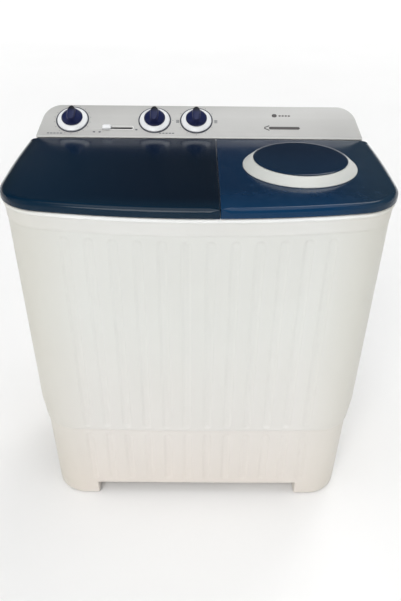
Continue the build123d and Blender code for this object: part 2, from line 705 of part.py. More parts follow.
# ---------------------------------------------------------------- spin drive
SEAL_R = 48.0
SPRING_R = 15.0
SPRING_WIRE = 2.0
SPRING_PITCH = 8.0
SPRING_REACH = 92.0
SEAT_H = 8.0
PLATE_Z = 98.0
DRUM_R = 48.0
BASKET_R = 140.0
BASKET_FLOOR = 372.0
BASKET_TOP = 800.0
LEVER_X = SPIN_X + 80.0
LEVER_Y = AXIS_Y + 73.0
SHOE_GAP = 5.5
LEVER_Z = (236.0, 248.0)


def make_spin_motor():
    """Spin motor on its plate, three springs and their rubber seats."""
    plate = Pos(SPIN_X, AXIS_Y, PLATE_Z + 2) * Cylinder(118, 4)
    post_top = LEVER_Z[0] - 0.5
    plate += rod(LEVER_X, LEVER_Y, PLATE_Z + 4, post_top, 7)
    plate += rod(LEVER_X, LEVER_Y, post_top, LEVER_Z[1] + 4, 3)
    parts["spin_motor_plate"] = plate
    top = 214.0
    profile = [
        (0, PLATE_Z + 4),
        (54, PLATE_Z + 4),
        (64, PLATE_Z + 24),
        (64, top - 24),
        (48, top),
        (0, top),
    ]
    motor = turned(profile, SPIN_X, AXIS_Y)
    parts["spin_motor"] = motor - rod(SPIN_X, AXIS_Y, 170, top + 1, SHAFT_R + RUN)
    springs, seats = [], []
    low, high = FLOOR_TOP + SEAT_H, PLATE_Z - SEAT_H
    height = high - low - 2 * SPRING_WIRE - 0.6
    helix = Helix(SPRING_PITCH, height, SPRING_R)
    section = Plane(origin=helix @ 0, z_dir=helix % 0) * Circle(SPRING_WIRE)
    coil = sweep(section, helix)
    for n in range(3):
        angle = radians(90 + 120 * n)
        x, y = SPIN_X + SPRING_REACH * cos(angle), AXIS_Y + SPRING_REACH * sin(angle)
        springs.append(Pos(x, y, low + SPRING_WIRE + 0.3) * coil)
        seats.append(rod(x, y, FLOOR_TOP, low, 22))
        seats.append(rod(x, y, high, PLATE_Z, 22))
    parts["suspension_springs"] = Compound(children=springs)
    parts["spring_seats"] = Compound(children=seats)


def make_basket():
    """Spin basket with its hub, the shaft, the brake drum, the seal and the brake lever."""
    r, floor, top = BASKET_R, BASKET_FLOOR, BASKET_TOP
    profile = [
        (SHAFT_R, floor - 10),
        (32, floor - 10),
        (36, floor),
        (r, floor),
        (r, top - 16),
        (r + 5, top - 14),
        (r + 5, top),
        (r - 12, top),
        (r - 12, top - 12),
        (r - 2.5, top - 18),
        (r - 2.5, floor + 3),
        (40, floor + 3),
        (30, floor + 26),
        (SHAFT_R, floor + 30),
    ]
    basket = turned(profile, SPIN_X, AXIS_Y)
    holes = []
    for row in range(7):
        for n in range(16):
            turn = Rot(0, 0, 22.5 * n + 11.25 * (row % 2))
            place = Pos(SPIN_X, AXIS_Y, floor + 50 + 52 * row) * turn * Pos(r - 1, 0, 0)
            holes.append(place * Rot(0, 90, 0) * Cylinder(3.0, 12))
    parts["spin_basket"] = basket - holes
    parts["spin_shaft"] = rod(SPIN_X, AXIS_Y, 172, floor + 29, SHAFT_R)
    drum = [
        (SHAFT_R, 226),
        (DRUM_R, 226),
        (DRUM_R, 258),
        (DRUM_R - 5, 258),
        (DRUM_R - 5, 231),
        (16, 231),
        (16, 262),
        (SHAFT_R, 262),
    ]
    parts["brake_drum"] = turned(drum, SPIN_X, AXIS_Y)
    seal = [
        (SHAFT_R + RUN, 300),
        (18, 300),
        (22, 312),
        (38, 318),
        (30, 326),
        (44, 334),
        (SEAL_R, 340),
        (SEAL_R + 6, 341),
        (SEAL_R + 6, SPIN_FLOOR),
        (SEAL_R - 3, SPIN_FLOOR),
        (SEAL_R - 6, 342),
        (26, 327),
        (33, 319),
        (16, 314),
        (SHAFT_R + RUN, 314),
    ]
    parts["bellows_seal"] = turned(seal, SPIN_X, AXIS_Y)

    low, high = LEVER_Z
    lever = slab(LEVER_X - 7, LEVER_X + 7, AXIS_Y - 22, LEVER_Y + 26, low, high)
    shoe = slab(SPIN_X + 20, LEVER_X - 7, AXIS_Y - 16, AXIS_Y + 16, low, high)
    lever += shoe - rod(SPIN_X, AXIS_Y, low - 1, high + 1, DRUM_R + SHOE_GAP)
    parts["brake_lever"] = lever - rod(LEVER_X, LEVER_Y, low - 1, high + 1, 3 + RUN)


# ---------------------------------------------------------------- drain
VALVE_R = 30.0
VALVE_Z = (282.0, 346.0)
DUCT_Z = 311.0
DUCT_R = 13.0
SPIN_DRAIN = (150.0, 62.0)
SPIN_PIPE_Z = 262.0
OUTLET_R = 14.0
OUTLET_BORE = 11.0
BEND_R = 26.0


def tube_between(a, b, radius, bore):
    """A straight tube from a to b."""
    path = Line(a, b)
    plane = Plane(origin=a, z_dir=path % 0)
    ring = Circle(radius) - Circle(bore)
    return extrude(plane * ring, path.length)


def make_drain():
    """Drain valve and plunger behind the wash tub, with the ducts in and the outlet."""
    low, high = VALVE_Z
    x, y = DRAIN_X, DRAIN_Y
    valve = rod(x, y, low, high, VALVE_R) - rod(x, y, low + 6, high - 4, VALVE_R - 4)
    valve -= rod(x, y, low - 1, low + 7, 14)
    valve -= rod(x, y, high - 5, high + 1, 4)
    entry = Pos(x, y - VALVE_R, DUCT_Z) * Rot(90, 0, 0) * Cylinder(10, 20)
    parts["drain_valve"] = valve - entry

    stopper = rod(x, y, low + 6.3, low + 14, 20) + rod(x, y, low + 14, low + 20, 8)
    parts["drain_plunger"] = stopper + rod(x, y, low + 20, 872, 3)

    can = rod(x, y, low - 5, high + 5, VALVE_R)
    end = DUCT_Y - DUCT_R
    middle = Pos(x, (end + y) / 2, DUCT_Z) * Rot(90, 0, 0)
    duct = middle * Cylinder(DUCT_R, y - end)
    duct += rod(x, DUCT_Y, DUCT_Z, TUB_FLOOR, DUCT_R + 2)
    duct -= middle * Cylinder(DUCT_R - 3, y - end - 6)
    duct -= rod(x, DUCT_Y, DUCT_Z, TUB_FLOOR + 1, DUCT_R - 4)
    parts["drain_duct"] = duct - can

    riser = rod(SPIN_DRAIN[0], SPIN_DRAIN[1], SPIN_PIPE_Z, SPIN_FLOOR, 11)
    start = (SPIN_DRAIN[0], SPIN_DRAIN[1], SPIN_PIPE_Z)
    pipe = tube_between(start, (x, y, SPIN_PIPE_Z), 11, 0.01)
    pipe += riser
    pipe += Pos(*start) * Sphere(11)
    parts["spin_drain_pipe"] = pipe - rod(x, y, SPIN_PIPE_Z - 30, SPIN_PIPE_Z + 15, OUTLET_R)

    down = Line((x, y, low), (x, y, PUMP_OUT_Z + BEND_R))
    bend = ThreePointArc(
        down @ 1,
        (x, y + BEND_R * (1 - cos(pi / 4)), PUMP_OUT_Z + BEND_R * (1 - sin(pi / 4))),
        (x, y + BEND_R, PUMP_OUT_Z),
    )
    out = Line(bend @ 1, (x, DEPTH / 2, PUMP_OUT_Z))
    path = Wire([down, bend, out])
    plane = Plane(origin=down @ 0, z_dir=(0, 0, -1))
    collar_y = REAR + COLLAR_T / 2
    collar = Pos(x, collar_y, PUMP_OUT_Z) * Rot(90, 0, 0) * Cylinder(OUTLET_R + 6, COLLAR_T)
    outlet = sweep(plane * Circle(OUTLET_R), path) + collar
    outlet -= sweep(plane * Circle(OUTLET_BORE), path)
    parts["drain_outlet"] = outlet

    caps = [rod(-300, y0, FLOOR_TOP, FLOOR_TOP + 66, 19) for y0 in (150, 198)]
    parts["run_capacitors"] = Compound(children=caps)


# ---------------------------------------------------------------- build and write
make_base()
make_cabinet()
make_deck()
make_tubs()
make_lids()
make_console()
make_controls()
make_pulsator()
make_gearbox()
make_wash_motor()
make_spin_motor()
make_basket()
make_drain()

os.makedirs("parts", exist_ok=True)
for name, shape in parts.items():
    export_step(shape, f"parts/{name}.step")
print(len(parts), "nodes")
print("panel slope", round(PANEL_SLOPE, 2), "normal", PANEL.z_dir)
for name, x in DIALS.items():
    print(name, "axis point", on_panel(x, DIAL_S).position)
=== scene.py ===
"""Looks of the twin tub washer: lights, camera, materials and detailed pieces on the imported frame.

Metres, in the frame's axes: +X to the right from the front, +Y to the back, +Z up.
"""

import json
from math import atan2, cos, hypot, pi, radians, sin, sqrt

import bmesh
import bpy
import numpy as np
from mathutils import Matrix, Vector


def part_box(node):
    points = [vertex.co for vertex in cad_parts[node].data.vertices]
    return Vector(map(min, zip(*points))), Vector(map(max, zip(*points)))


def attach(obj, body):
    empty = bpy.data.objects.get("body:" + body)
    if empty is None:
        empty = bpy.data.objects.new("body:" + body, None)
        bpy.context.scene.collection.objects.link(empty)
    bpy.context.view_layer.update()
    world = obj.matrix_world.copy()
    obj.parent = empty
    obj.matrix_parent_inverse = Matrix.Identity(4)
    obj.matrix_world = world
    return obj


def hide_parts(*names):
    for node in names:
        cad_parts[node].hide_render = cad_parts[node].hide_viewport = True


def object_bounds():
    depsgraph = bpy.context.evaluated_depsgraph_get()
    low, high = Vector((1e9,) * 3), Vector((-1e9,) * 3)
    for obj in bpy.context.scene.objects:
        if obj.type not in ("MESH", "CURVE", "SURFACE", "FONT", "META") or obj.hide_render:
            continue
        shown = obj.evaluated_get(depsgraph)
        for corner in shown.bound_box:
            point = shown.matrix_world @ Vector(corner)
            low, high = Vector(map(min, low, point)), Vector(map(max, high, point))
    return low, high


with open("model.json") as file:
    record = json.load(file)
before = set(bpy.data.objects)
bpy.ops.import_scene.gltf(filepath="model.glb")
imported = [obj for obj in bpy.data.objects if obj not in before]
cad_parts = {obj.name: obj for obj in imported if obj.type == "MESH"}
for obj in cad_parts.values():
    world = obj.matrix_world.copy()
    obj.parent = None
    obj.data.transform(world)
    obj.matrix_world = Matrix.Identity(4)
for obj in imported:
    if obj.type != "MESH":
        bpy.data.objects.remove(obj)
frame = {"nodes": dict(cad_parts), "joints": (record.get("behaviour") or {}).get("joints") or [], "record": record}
CAD_BOX = [list(v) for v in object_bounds()]
NODES = frame["nodes"]

# ---------------------------------------------------------------- places read from the frame
HALF = CAD_BOX[1][0]
FRONT = CAD_BOX[0][1]
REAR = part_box("cabinet")[1].y
DECK_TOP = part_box("console_housing")[0].z
RIM_TOP = DECK_TOP + 0.004
DECK_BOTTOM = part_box("cabinet")[1].z
BASE_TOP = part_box("base")[1].z
PAD_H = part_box("base")[0].z
LID_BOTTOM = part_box("wash_lid")[0].z
LID_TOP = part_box("wash_lid")[1].z
LID_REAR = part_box("wash_lid")[1].y
SPLIT_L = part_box("wash_lid")[1].x
SPLIT_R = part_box("spin_lid")[0].x
CONSOLE_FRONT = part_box("control_panel")[0].y
CONSOLE_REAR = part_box("control_panel")[1].y
PANEL_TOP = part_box("control_panel")[1].z
JOINTS = {j["name"]: j for j in frame["joints"]}
PULSATOR_AT = JOINTS["pulsator_spin"]["pos_m"]
BASKET_AT = JOINTS["spin_basket_spin"]["pos_m"]
HINGE_AT = JOINTS["wash_lid_hinge"]["pos_m"]
DIAL_Z = JOINTS["wash_timer_turn"]["pos_m"][2]
HINGE_X = {"wash_lid": (-0.384, 0.012), "spin_lid": (0.066, 0.384)}

# Plan outline of the casing by height: z, half width, y of the front's middle, bow of the front,
# front corner radius, bulge of the sides.
LID_PLAN = (LID_BOTTOM, HALF, FRONT, 0.049, 0.108, 0.008)
BAND_PLANS = [
    (DECK_BOTTOM, HALF - 0.004, FRONT + 0.008, 0.044, 0.108, 0.008),
    (RIM_TOP, HALF - 0.001, FRONT + 0.003, 0.047, 0.110, 0.008),
]
CABINET_PLANS = [
    (BASE_TOP, HALF - 0.023, FRONT + 0.052, 0.009, 0.090, 0.005),
    (0.318, HALF - 0.016, FRONT + 0.0475, 0.0128, 0.092, 0.0053),
    (DECK_BOTTOM, HALF - 0.007, FRONT + 0.011, 0.044, 0.106, 0.008),
]
BASE_PLANS = [
    (PAD_H, HALF - 0.031, FRONT + 0.071, 0.001, 0.084, 0.004),
    (BASE_TOP, HALF - 0.026, FRONT + 0.055, 0.009, 0.088, 0.005),
]
REAR_R = 0.030


# ---------------------------------------------------------------- mesh helpers
def add_mesh(name, verts, faces, material, body, replaces=(), slot=None, smooth=40.0):
    """A mesh piece riding on a body. smooth is the angle above which an edge stays sharp."""
    data = bpy.data.meshes.new(name)
    data.from_pydata([tuple(map(float, v)) for v in verts], [], [list(map(int, f)) for f in faces])
    data.update()
    return add_object(name, data, material, body, replaces, slot, smooth)


def add_object(name, data, material, body, replaces=(), slot=None, smooth=40.0):
    data.polygons.foreach_set("use_smooth", [True] * len(data.polygons))
    data.set_sharp_from_angle(angle=radians(smooth))
    obj = bpy.data.objects.new(name, data)
    bpy.context.scene.collection.objects.link(obj)
    data.materials.clear()
    data.materials.append(material)
    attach(obj, body)
    if replaces:
        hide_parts(*replaces)
    return obj


def bm_to(name, bm, material, body, **kw):
    bmesh.ops.recalc_face_normals(bm, faces=bm.faces[:])
    data = bpy.data.meshes.new(name)
    bm.to_mesh(data)
    bm.free()
    return add_object(name, data, material, body, **kw)


def bevel(obj, width, segments=3, angle=35.0):
    m = obj.modifiers.new("edges", "BEVEL")
    m.width = width
    m.segments = segments
    m.limit_method = "ANGLE"
    m.angle_limit = radians(angle)


def weighted(obj):
    """Flat faces stay flat-shaded next to their rounded edges."""
    m = obj.modifiers.new("normals", "WEIGHTED_NORMAL")
    m.keep_sharp = True


def loop_faces(count, rows, flip=False):
    """Quads of a grid of rows, each a loop of count points."""
    faces = []
    for r in range(rows - 1):
        for i in range(count):
            j = (i + 1) % count
            quad = [r * count + i, r * count + j, (r + 1) * count + j, (r + 1) * count + i]
            faces.append(quad[::-1] if flip else quad)
    return faces


def lathe(profile, at=(0, 0), steps=96, matrix=None):
    """Vertices and faces of a turned shape, from (radius, height) points.

    It is closed at an end that lies on the axis."""
    verts, faces, rings = [], [], []
    for r, z in profile:
        if r < 1e-6:
            rings.append([len(verts)])
            verts.append((at[0], at[1], z))
        else:
            rings.append(list(range(len(verts), len(verts) + steps)))
            verts += [(x, y, z) for x, y in circle(*at, r, steps)]
    for a, b in zip(rings, rings[1:]):
        for k in range(steps):
            n = (k + 1) % steps
            if len(a) == 1:
                faces.append([a[0], b[n], b[k]])
            elif len(b) == 1:
                faces.append([a[k], a[n], b[0]])
            else:
                faces.append([a[k], a[n], b[n], b[k]])
    if matrix is not None:
        verts = [matrix @ Vector(v) for v in verts]
    return verts, faces


def corner_curve(a, b, c, radius, steps, share, blunt):
    """Points of a curve that rounds the corner b of a, b, c. A corner below blunt stays a point.

    share is how much of either side the curve may take up."""
    a, b, c = (np.array(p, float) for p in (a, b, c))
    u, v = a - b, c - b
    lu, lv = np.linalg.norm(u), np.linalg.norm(v)
    u, v = u / lu, v / lv
    turn = np.arccos(np.clip(-(u @ v), -1, 1))
    if turn < blunt:
        return [tuple(b)]
    reach = min(radius * np.tan(turn / 2), lu * share, lv * share)
    p, q = b + u * reach, b + v * reach
    ts = [k / steps for k in range(steps + 1)]
    return [tuple((1 - t) ** 2 * p + 2 * t * (1 - t) * b + t * t * q) for t in ts]


def rounded(profile, radius, steps=4):
    """An open profile with each inner corner rounded."""
    out = [profile[0]]
    for a, b, c in zip(profile, profile[1:], profile[2:]):
        out += corner_curve(a, b, c, radius, steps, 0.49, 0.12)
    return [*out, profile[-1]]


def quarter(steps=8):
    """Angles from nothing to a right angle."""
    return [pi / 2 * k / steps for k in range(steps + 1)]


def smoothstep(t):
    return t * t * (3 - 2 * t)


def merge(parts):
    """Joins several (vertices, faces) lists into one."""
    verts, faces = [], []
    for v, f in parts:
        base = len(verts)
        verts += [tuple(p) for p in v]
        faces += [[i + base for i in face] for face in f]
    return verts, faces


def box_part(lo, hi):
    """A plain block as (vertices, faces), for small things that get a bevel."""
    x0, y0, z0 = lo
    x1, y1, z1 = hi
    verts = [(x, y, z) for z in (z0, z1) for x, y in ((x0, y0), (x1, y0), (x1, y1), (x0, y1))]
    faces = [[3, 2, 1, 0], [4, 5, 6, 7], [0, 1, 5, 4], [1, 2, 6, 5], [2, 3, 7, 6], [3, 0, 4, 7]]
    return verts, faces


def prism(bm, x, half, outline):
    """A block of constant (y, z) outline, centred on x."""
    left = [bm.verts.new((x - half, a, b)) for a, b in outline]
    right = [bm.verts.new((x + half, a, b)) for a, b in outline]
    bm.faces.new(left)
    bm.faces.new(right[::-1])
    m = len(outline)
    for k in range(m):
        bm.faces.new([left[k], right[k], right[(k + 1) % m], left[(k + 1) % m]])


def fill_loop(bm, loop, hole=()):
    """Flat faces over a loop of vertices that has edges, round a hole that has none yet."""
    edges = [bm.edges.get(pair) for pair in zip(loop, loop[1:] + loop[:1])]
    edges += [bm.edges.new(pair) for pair in zip(hole, [*hole[1:], *hole[:1]])]
    bmesh.ops.triangle_fill(bm, use_beauty=True, edges=edges)


def bridge(bm, upper, lower):
    """A wall between two loops of the same length."""
    count = len(upper)
    for i in range(count):
        j = (i + 1) % count
        bm.faces.new([upper[i], upper[j], lower[j], lower[i]])


def thicken(obj, thickness, offset):
    m = obj.modifiers.new("thickness", "SOLIDIFY")
    m.thickness = thickness
    m.offset = offset


def plate(name, loops, z0, z1, round_edge, material, body, matrix=None, **kw):
    """A flat plate with rounded edges from an outer loop and any holes, between two heights."""
    curve = bpy.data.curves.new(name, "CURVE")
    curve.dimensions = "2D"
    curve.fill_mode = "BOTH"
    curve.extrude = (z1 - z0) / 2 - round_edge
    curve.bevel_depth = round_edge
    curve.bevel_resolution = 2
    curve.offset = -round_edge
    for loop in loops:
        spline = curve.splines.new("POLY")
        spline.points.add(len(loop) - 1)
        for point, (x, y) in zip(spline.points, loop):
            point.co = (x, y, 0, 1)
        spline.use_cyclic_u = True
    temp = bpy.data.objects.new(name + "_curve", curve)
    bpy.context.scene.collection.objects.link(temp)
    bpy.context.view_layer.update()
    graph = bpy.context.evaluated_depsgraph_get()
    data = bpy.data.meshes.new_from_object(temp.evaluated_get(graph))
    data.name = name
    bpy.data.objects.remove(temp)
    bpy.data.curves.remove(curve)
    data.transform(Matrix.Translation((0, 0, (z0 + z1) / 2)))
    if matrix is not None:
        data.transform(matrix)
    bm = bmesh.new()
    bm.from_mesh(data)
    bmesh.ops.remove_doubles(bm, verts=bm.verts[:], dist=1e-6)
    bmesh.ops.recalc_face_normals(bm, faces=bm.faces[:])
    bm.to_mesh(data)
    bm.free()
    return add_object(name, data, material, body, **kw)


# ---------------------------------------------------------------- plan outlines
CORNER_STEPS = 18
REAR_STEPS = 8


def half_plan(plan, fronts, sides, backs):
    """Right half of a plan outline, from the front's middle round to the back's, with normals.

    The front is an arc about front_at, the side an arc about side_at, joined by round corners."""
    _, half, front, bow, corner, bulge = plan
    chord = half - bulge
    front_r = (chord**2 + bow**2) / (2 * bow)
    front_at = np.array((0.0, front + front_r))
    length = (REAR - front - bow) / 2
    side_r = (length**2 + bulge**2) / (2 * bulge)
    side_at = np.array((half - side_r, (front + bow + REAR) / 2))

    def meet(r1, r2):
        """Where circles of these radii about front_at and side_at cross, at the front right."""
        d = side_at - front_at
        dist = np.linalg.norm(d)
        a = (r1**2 - r2**2 + dist**2) / (2 * dist)
        h = sqrt(max(r1**2 - a**2, 0))
        middle = front_at + d / dist * a
        across = np.array((-d[1], d[0])) / dist
        return max((middle + across * h, middle - across * h), key=lambda p: p[0] - p[1])

    corner_at = meet(front_r - corner, side_r - corner)
    t1 = front_at + (corner_at - front_at) / np.linalg.norm(corner_at - front_at) * front_r
    t2 = side_at + (corner_at - side_at) / np.linalg.norm(corner_at - side_at) * side_r
    rear_y = REAR - REAR_R
    reach = sqrt((side_r - REAR_R) ** 2 - (rear_y - side_at[1]) ** 2)
    rear_at = np.array((side_at[0] + reach, rear_y))
    t3 = side_at + (rear_at - side_at) / np.linalg.norm(rear_at - side_at) * side_r
    points, normals = [], []

    def put(p, centre=None, n=None):
        p = np.array(p, float)
        points.append(p)
        n = (p - centre) / np.linalg.norm(p - centre) if n is None else np.array(n, float)
        normals.append(n)

    extra = np.linspace(fronts[-1], t1[0], 5)[1:-1]
    for x in [*fronts, *extra]:
        put((x, front_at[1] - sqrt(front_r**2 - x**2)), front_at)
    a1, a2 = atan2(*(t1 - corner_at)[::-1]), atan2(*(t2 - corner_at)[::-1])
    for k in range(CORNER_STEPS + 1):
        a = a1 + (a2 - a1) * k / CORNER_STEPS
        put(corner_at + corner * np.array((cos(a), sin(a))), corner_at)
    before = np.linspace(t2[1], sides[0], 4)[1:-1]
    after = np.linspace(sides[-1], t3[1], 5)[1:-1]
    for y in [*before, *sides, *after]:
        put((side_at[0] + sqrt(side_r**2 - (y - side_at[1]) ** 2), y), side_at)
    a3 = atan2(*(t3 - rear_at)[::-1])
    for k in range(REAR_STEPS + 1):
        a = a3 + (pi / 2 - a3) * k / REAR_STEPS
        put(rear_at + REAR_R * np.array((cos(a), sin(a))), rear_at)
    for x in backs:
        put((x, REAR), n=(0, 1))
    return np.array(points), np.array(normals)


def full_plan(plan, fronts, sides, backs):
    """Whole outline, counter-clockwise from the front's middle.

    fronts starts at 0 and backs ends at 0."""
    p, n = half_plan(plan, fronts, sides, backs)
    return tuple(np.vstack([a, (a * (-1.0, 1.0))[-2:0:-1]]) for a in (p, n))


def blend_plans(plans, z):
    """The plan at a height, between the levels given."""
    heights = [p[0] for p in plans]
    return tuple(np.interp(z, heights, [p[i] for p in plans]) for i in range(len(plans[0])))


def plan_loop(plan, inset, fronts=12, sides=8):
    """A coarse outline of a plan, drawn in from its edge, for a flat plate."""
    p, n = full_plan(plan, np.linspace(0, 0.28, fronts), np.linspace(-0.1, 0.15, sides),
                     [0.3, 0.15, 0.0])
    return [tuple(q) for q in (p - n * inset)]


# Flutes: shallow upright grooves with round ends.
FLUTE_X = [0.025 + 0.05 * n for n in range(6)]
FLUTE_Y = [0.05 * n - 0.103 for n in range(5)]
FLUTE_W = 0.024
FLUTE_DEPTH = 0.0020
FLUTE_EASE = 0.0078
FLUTE_MARKS = (0, 0.0025, 0.005, 0.0075, 0.009, 0.0105, 0.012, 0.0135)


def flute_stations(centres, low, high, step):
    """Stations along a wall: fine at the edges of flutes, coarser elsewhere."""
    marks = {low, high}
    for c in centres:
        for d in FLUTE_MARKS:
            marks.update((c - d, c + d))
    marks = sorted(m for m in marks if low <= m <= high)
    out = [marks[0]]
    for m in marks[1:]:
        gap = m - out[-1]
        if gap > 1.6 * step:
            for k in range(1, int(gap / step)):
                out.append(out[-1] + gap / int(gap / step))
        out.append(m)
    return out


def flute_depth(points, normals, z, z0, z1, side_z0):
    """How deep the flutes are at each point of one row."""
    depth = np.zeros(len(points))
    for k, ((x, y), (nx, ny)) in enumerate(zip(points, normals)):
        if ny < -0.7:
            along, centres, low = abs(x), FLUTE_X, z0
        elif abs(nx) > 0.9:
            along, centres, low = y, FLUTE_Y, side_z0
        else:
            continue
        near = min(abs(along - c) for c in centres)
        over = max(0.0, low + FLUTE_W / 2 - z, z - (z1 - FLUTE_W / 2))
        inside = FLUTE_W / 2 - hypot(near, over)
        if inside > 0:
            depth[k] = FLUTE_DEPTH * smoothstep(min(inside / FLUTE_EASE, 1.0))
    return depth


# ---------------------------------------------------------------- materials
def srgb(r, g, b):
    """A colour from display values of 0 to 255."""
    out = []
    for v in (r, g, b):
        v /= 255
        out.append(v / 12.92 if v <= 0.04045 else ((v + 0.055) / 1.055) ** 2.4)
    return (*out, 1.0)


def shade(colour, k):
    return (*(min(c * k, 1.0) for c in colour[:3]), 1.0)


class Nodes:
    """A small helper for building one material's nodes."""

    def __init__(self, name):
        self.material = bpy.data.materials.new(name)
        self.material.use_nodes = True
        self.tree = self.material.node_tree
        self.bsdf = next(n for n in self.tree.nodes if n.type == "BSDF_PRINCIPLED")
        self.where = self.add("ShaderNodeTexCoord").outputs["Object"]

    def add(self, kind, **values):
        node = self.tree.nodes.new(kind)
        for key, value in values.items():
            setattr(node, key, value)
        return node

    def link(self, a, b):
        self.tree.links.new(a, b)

    def put(self, socket, value):
        if isinstance(value, bpy.types.NodeSocket):
            self.link(value, socket)
        else:
            socket.default_value = value

    def noise(self, scale, detail=3.0, rough=0.5, stretch=None, distortion=0.0):
        node = self.add("ShaderNodeTexNoise")
        node.inputs["Scale"].default_value = scale
        node.inputs["Detail"].default_value = detail
        node.inputs["Roughness"].default_value = rough
        node.inputs["Distortion"].default_value = distortion
        self.link(self.stretched(stretch) if stretch else self.where, node.inputs["Vector"])
        return node.outputs["Fac"]

    def stretched(self, stretch):
        node = self.add("ShaderNodeMapping")
        node.inputs["Scale"].default_value = stretch
        self.link(self.where, node.inputs["Vector"])
        return node.outputs["Vector"]

    def remap(self, value, a, b, c=0.0, d=1.0):
        node = self.add("ShaderNodeMapRange")
        node.clamp = True
        for key, v in (("From Min", a), ("From Max", b), ("To Min", c), ("To Max", d)):
            node.inputs[key].default_value = v
        self.link(value, node.inputs["Value"])
        return node.outputs["Result"]

    def cloud(self, scale, detail=3.0, low=0.0, high=1.0, **kw):
        """Noise spread evenly between two values."""
        return self.remap(self.noise(scale, detail, **kw), 0.3, 0.7, low, high)

    def lay(self, colour, mask, amount, over):
        """Another colour laid over part of the surface."""
        return self.mix(self.math("MULTIPLY", mask, amount), colour, over)

    def mix(self, factor, a, b):
        node = self.add("ShaderNodeMix", data_type="RGBA")
        self.put(node.inputs["Factor"], factor)
        self.put(node.inputs[6], a)
        self.put(node.inputs[7], b)
        return node.outputs[2]

    def math(self, kind, a, b=0.0):
        node = self.add("ShaderNodeMath", operation=kind)
        self.put(node.inputs[0], a)
        self.put(node.inputs[1], b)
        return node.outputs[0]

    def axis(self, which):
        node = self.add("ShaderNodeSeparateXYZ")
        self.link(self.where, node.inputs[0])
        return node.outputs[which]

    def edges(self, low=0.52, high=0.58):
        """1 on convex edges, 0 elsewhere."""
        return self.remap(self.add("ShaderNodeNewGeometry").outputs["Pointiness"], low, high)

    def bump(self, height, strength, distance, under=None):
        node = self.add("ShaderNodeBump")
        node.inputs["Strength"].default_value = strength
        node.inputs["Distance"].default_value = distance
        self.link(height, node.inputs["Height"])
        if under is not None:
            self.link(under, node.inputs["Normal"])
        return node.outputs["Normal"]

    def finish(self, colour, rough, normal=None, metal=0.0, coat=0.0, coat_rough=0.1, ior=1.5,
               spec=0.5):
        self.put(self.bsdf.inputs["Base Color"], colour)
        self.put(self.bsdf.inputs["Roughness"], rough)
        self.bsdf.inputs["Metallic"].default_value = metal
        self.bsdf.inputs["Coat Weight"].default_value = coat
        self.bsdf.inputs["Coat Roughness"].default_value = coat_rough
        self.bsdf.inputs["IOR"].default_value = ior
        self.bsdf.inputs["Specular IOR Level"].default_value = spec
        if normal is not None:
            self.link(normal, self.bsdf.inputs["Normal"])
        return self.material


def plastic(name, colour, rough=(0.3, 0.42), mottle=0.06, grain=0.12, grain_scale=900.0, wave=0.25,
            coat=0.0, wear=0.25, dirt_and_hollow_shade=0.0, spec=0.5, tip=None):
    """Moulded plastic: faint mottling, fine grain, mould waviness, paler edges, painted shade in hollows.

    tip is (height from, height to, colour) for an end in another colour."""
    n = Nodes(name)
    cloud = n.cloud(7.0, 4.0)
    col = n.mix(cloud, shade(colour, 1 - mottle), shade(colour, 1 + mottle))
    speck = n.remap(n.noise(420.0, 2.0), 0.62, 0.8)
    col = n.lay(col, speck, 0.06, shade(colour, 0.6))
    if wear:
        worn = n.math("MULTIPLY", n.edges(), n.remap(n.noise(38.0, 5.0), 0.35, 0.7))
        pale = shade(tuple(0.5 * c + 0.35 for c in colour[:3]), 1.0)
        col = n.lay(col, worn, wear, pale)
    if dirt_and_hollow_shade:
        # painted shade: hollows get a darker copy of the colour, broken up by noise
        hollow = n.remap(n.add("ShaderNodeNewGeometry").outputs["Pointiness"], 0.49, 0.43)
        hollow_shade = n.math("MULTIPLY", hollow, n.remap(n.noise(22.0, 6.0), 0.3, 0.65))
        col = n.lay(col, hollow_shade, dirt_and_hollow_shade, shade(colour, 0.35))
    if tip:
        col = n.mix(n.remap(n.axis(2), tip[0], tip[1]), col, tip[2])
    gloss = n.cloud(16.0, 5.0, *rough)
    normal = n.bump(n.noise(9.0, 2.0), wave, 0.0012)
    normal = n.bump(n.noise(grain_scale, 3.0), grain, 0.00012, normal)
    return n.finish(col, gloss, normal, coat=coat, spec=spec)


def metal(name, colour, rough=(0.25, 0.42), brushed=None, wear=0.3, spots=0.15, bump=0.15):
    """Metal with fine scratches or cast grain, dull spots and brighter edges."""
    n = Nodes(name)
    cloud = n.cloud(24.0, 5.0)
    col = n.mix(cloud, shade(colour, 0.86), shade(colour, 1.08))
    dull = n.remap(n.noise(90.0, 4.0), 0.58, 0.75)
    col = n.lay(col, dull, spots, shade(colour, 0.45))
    bright = n.math("MULTIPLY", n.edges(), wear)
    col = n.mix(bright, col, shade(tuple(0.4 * c + 0.5 for c in colour[:3]), 1.0))
    gloss = n.cloud(300.0, 4.0, *rough, stretch=brushed)
    normal = n.bump(n.noise(700.0, 3.0, stretch=brushed), bump, 0.0001)
    return n.finish(col, gloss, normal, metal=1.0)


def rubber(name, colour=(0.022, 0.022, 0.023, 1.0), rough=(0.62, 0.82), dust=0.25):
    """Black rubber with a dusty bloom and a fine matt grain."""
    n = Nodes(name)
    bloom = n.remap(n.noise(30.0, 6.0), 0.4, 0.75)
    col = n.mix(n.math("MULTIPLY", bloom, dust), colour, (0.16, 0.155, 0.145, 1.0))
    col = n.lay(col, n.edges(), 0.25, (0.12, 0.12, 0.12, 1.0))
    gloss = n.cloud(60.0, 3.0, *rough)
    normal = n.bump(n.noise(1400.0, 2.0), 0.25, 0.0001)
    return n.finish(col, gloss, normal)


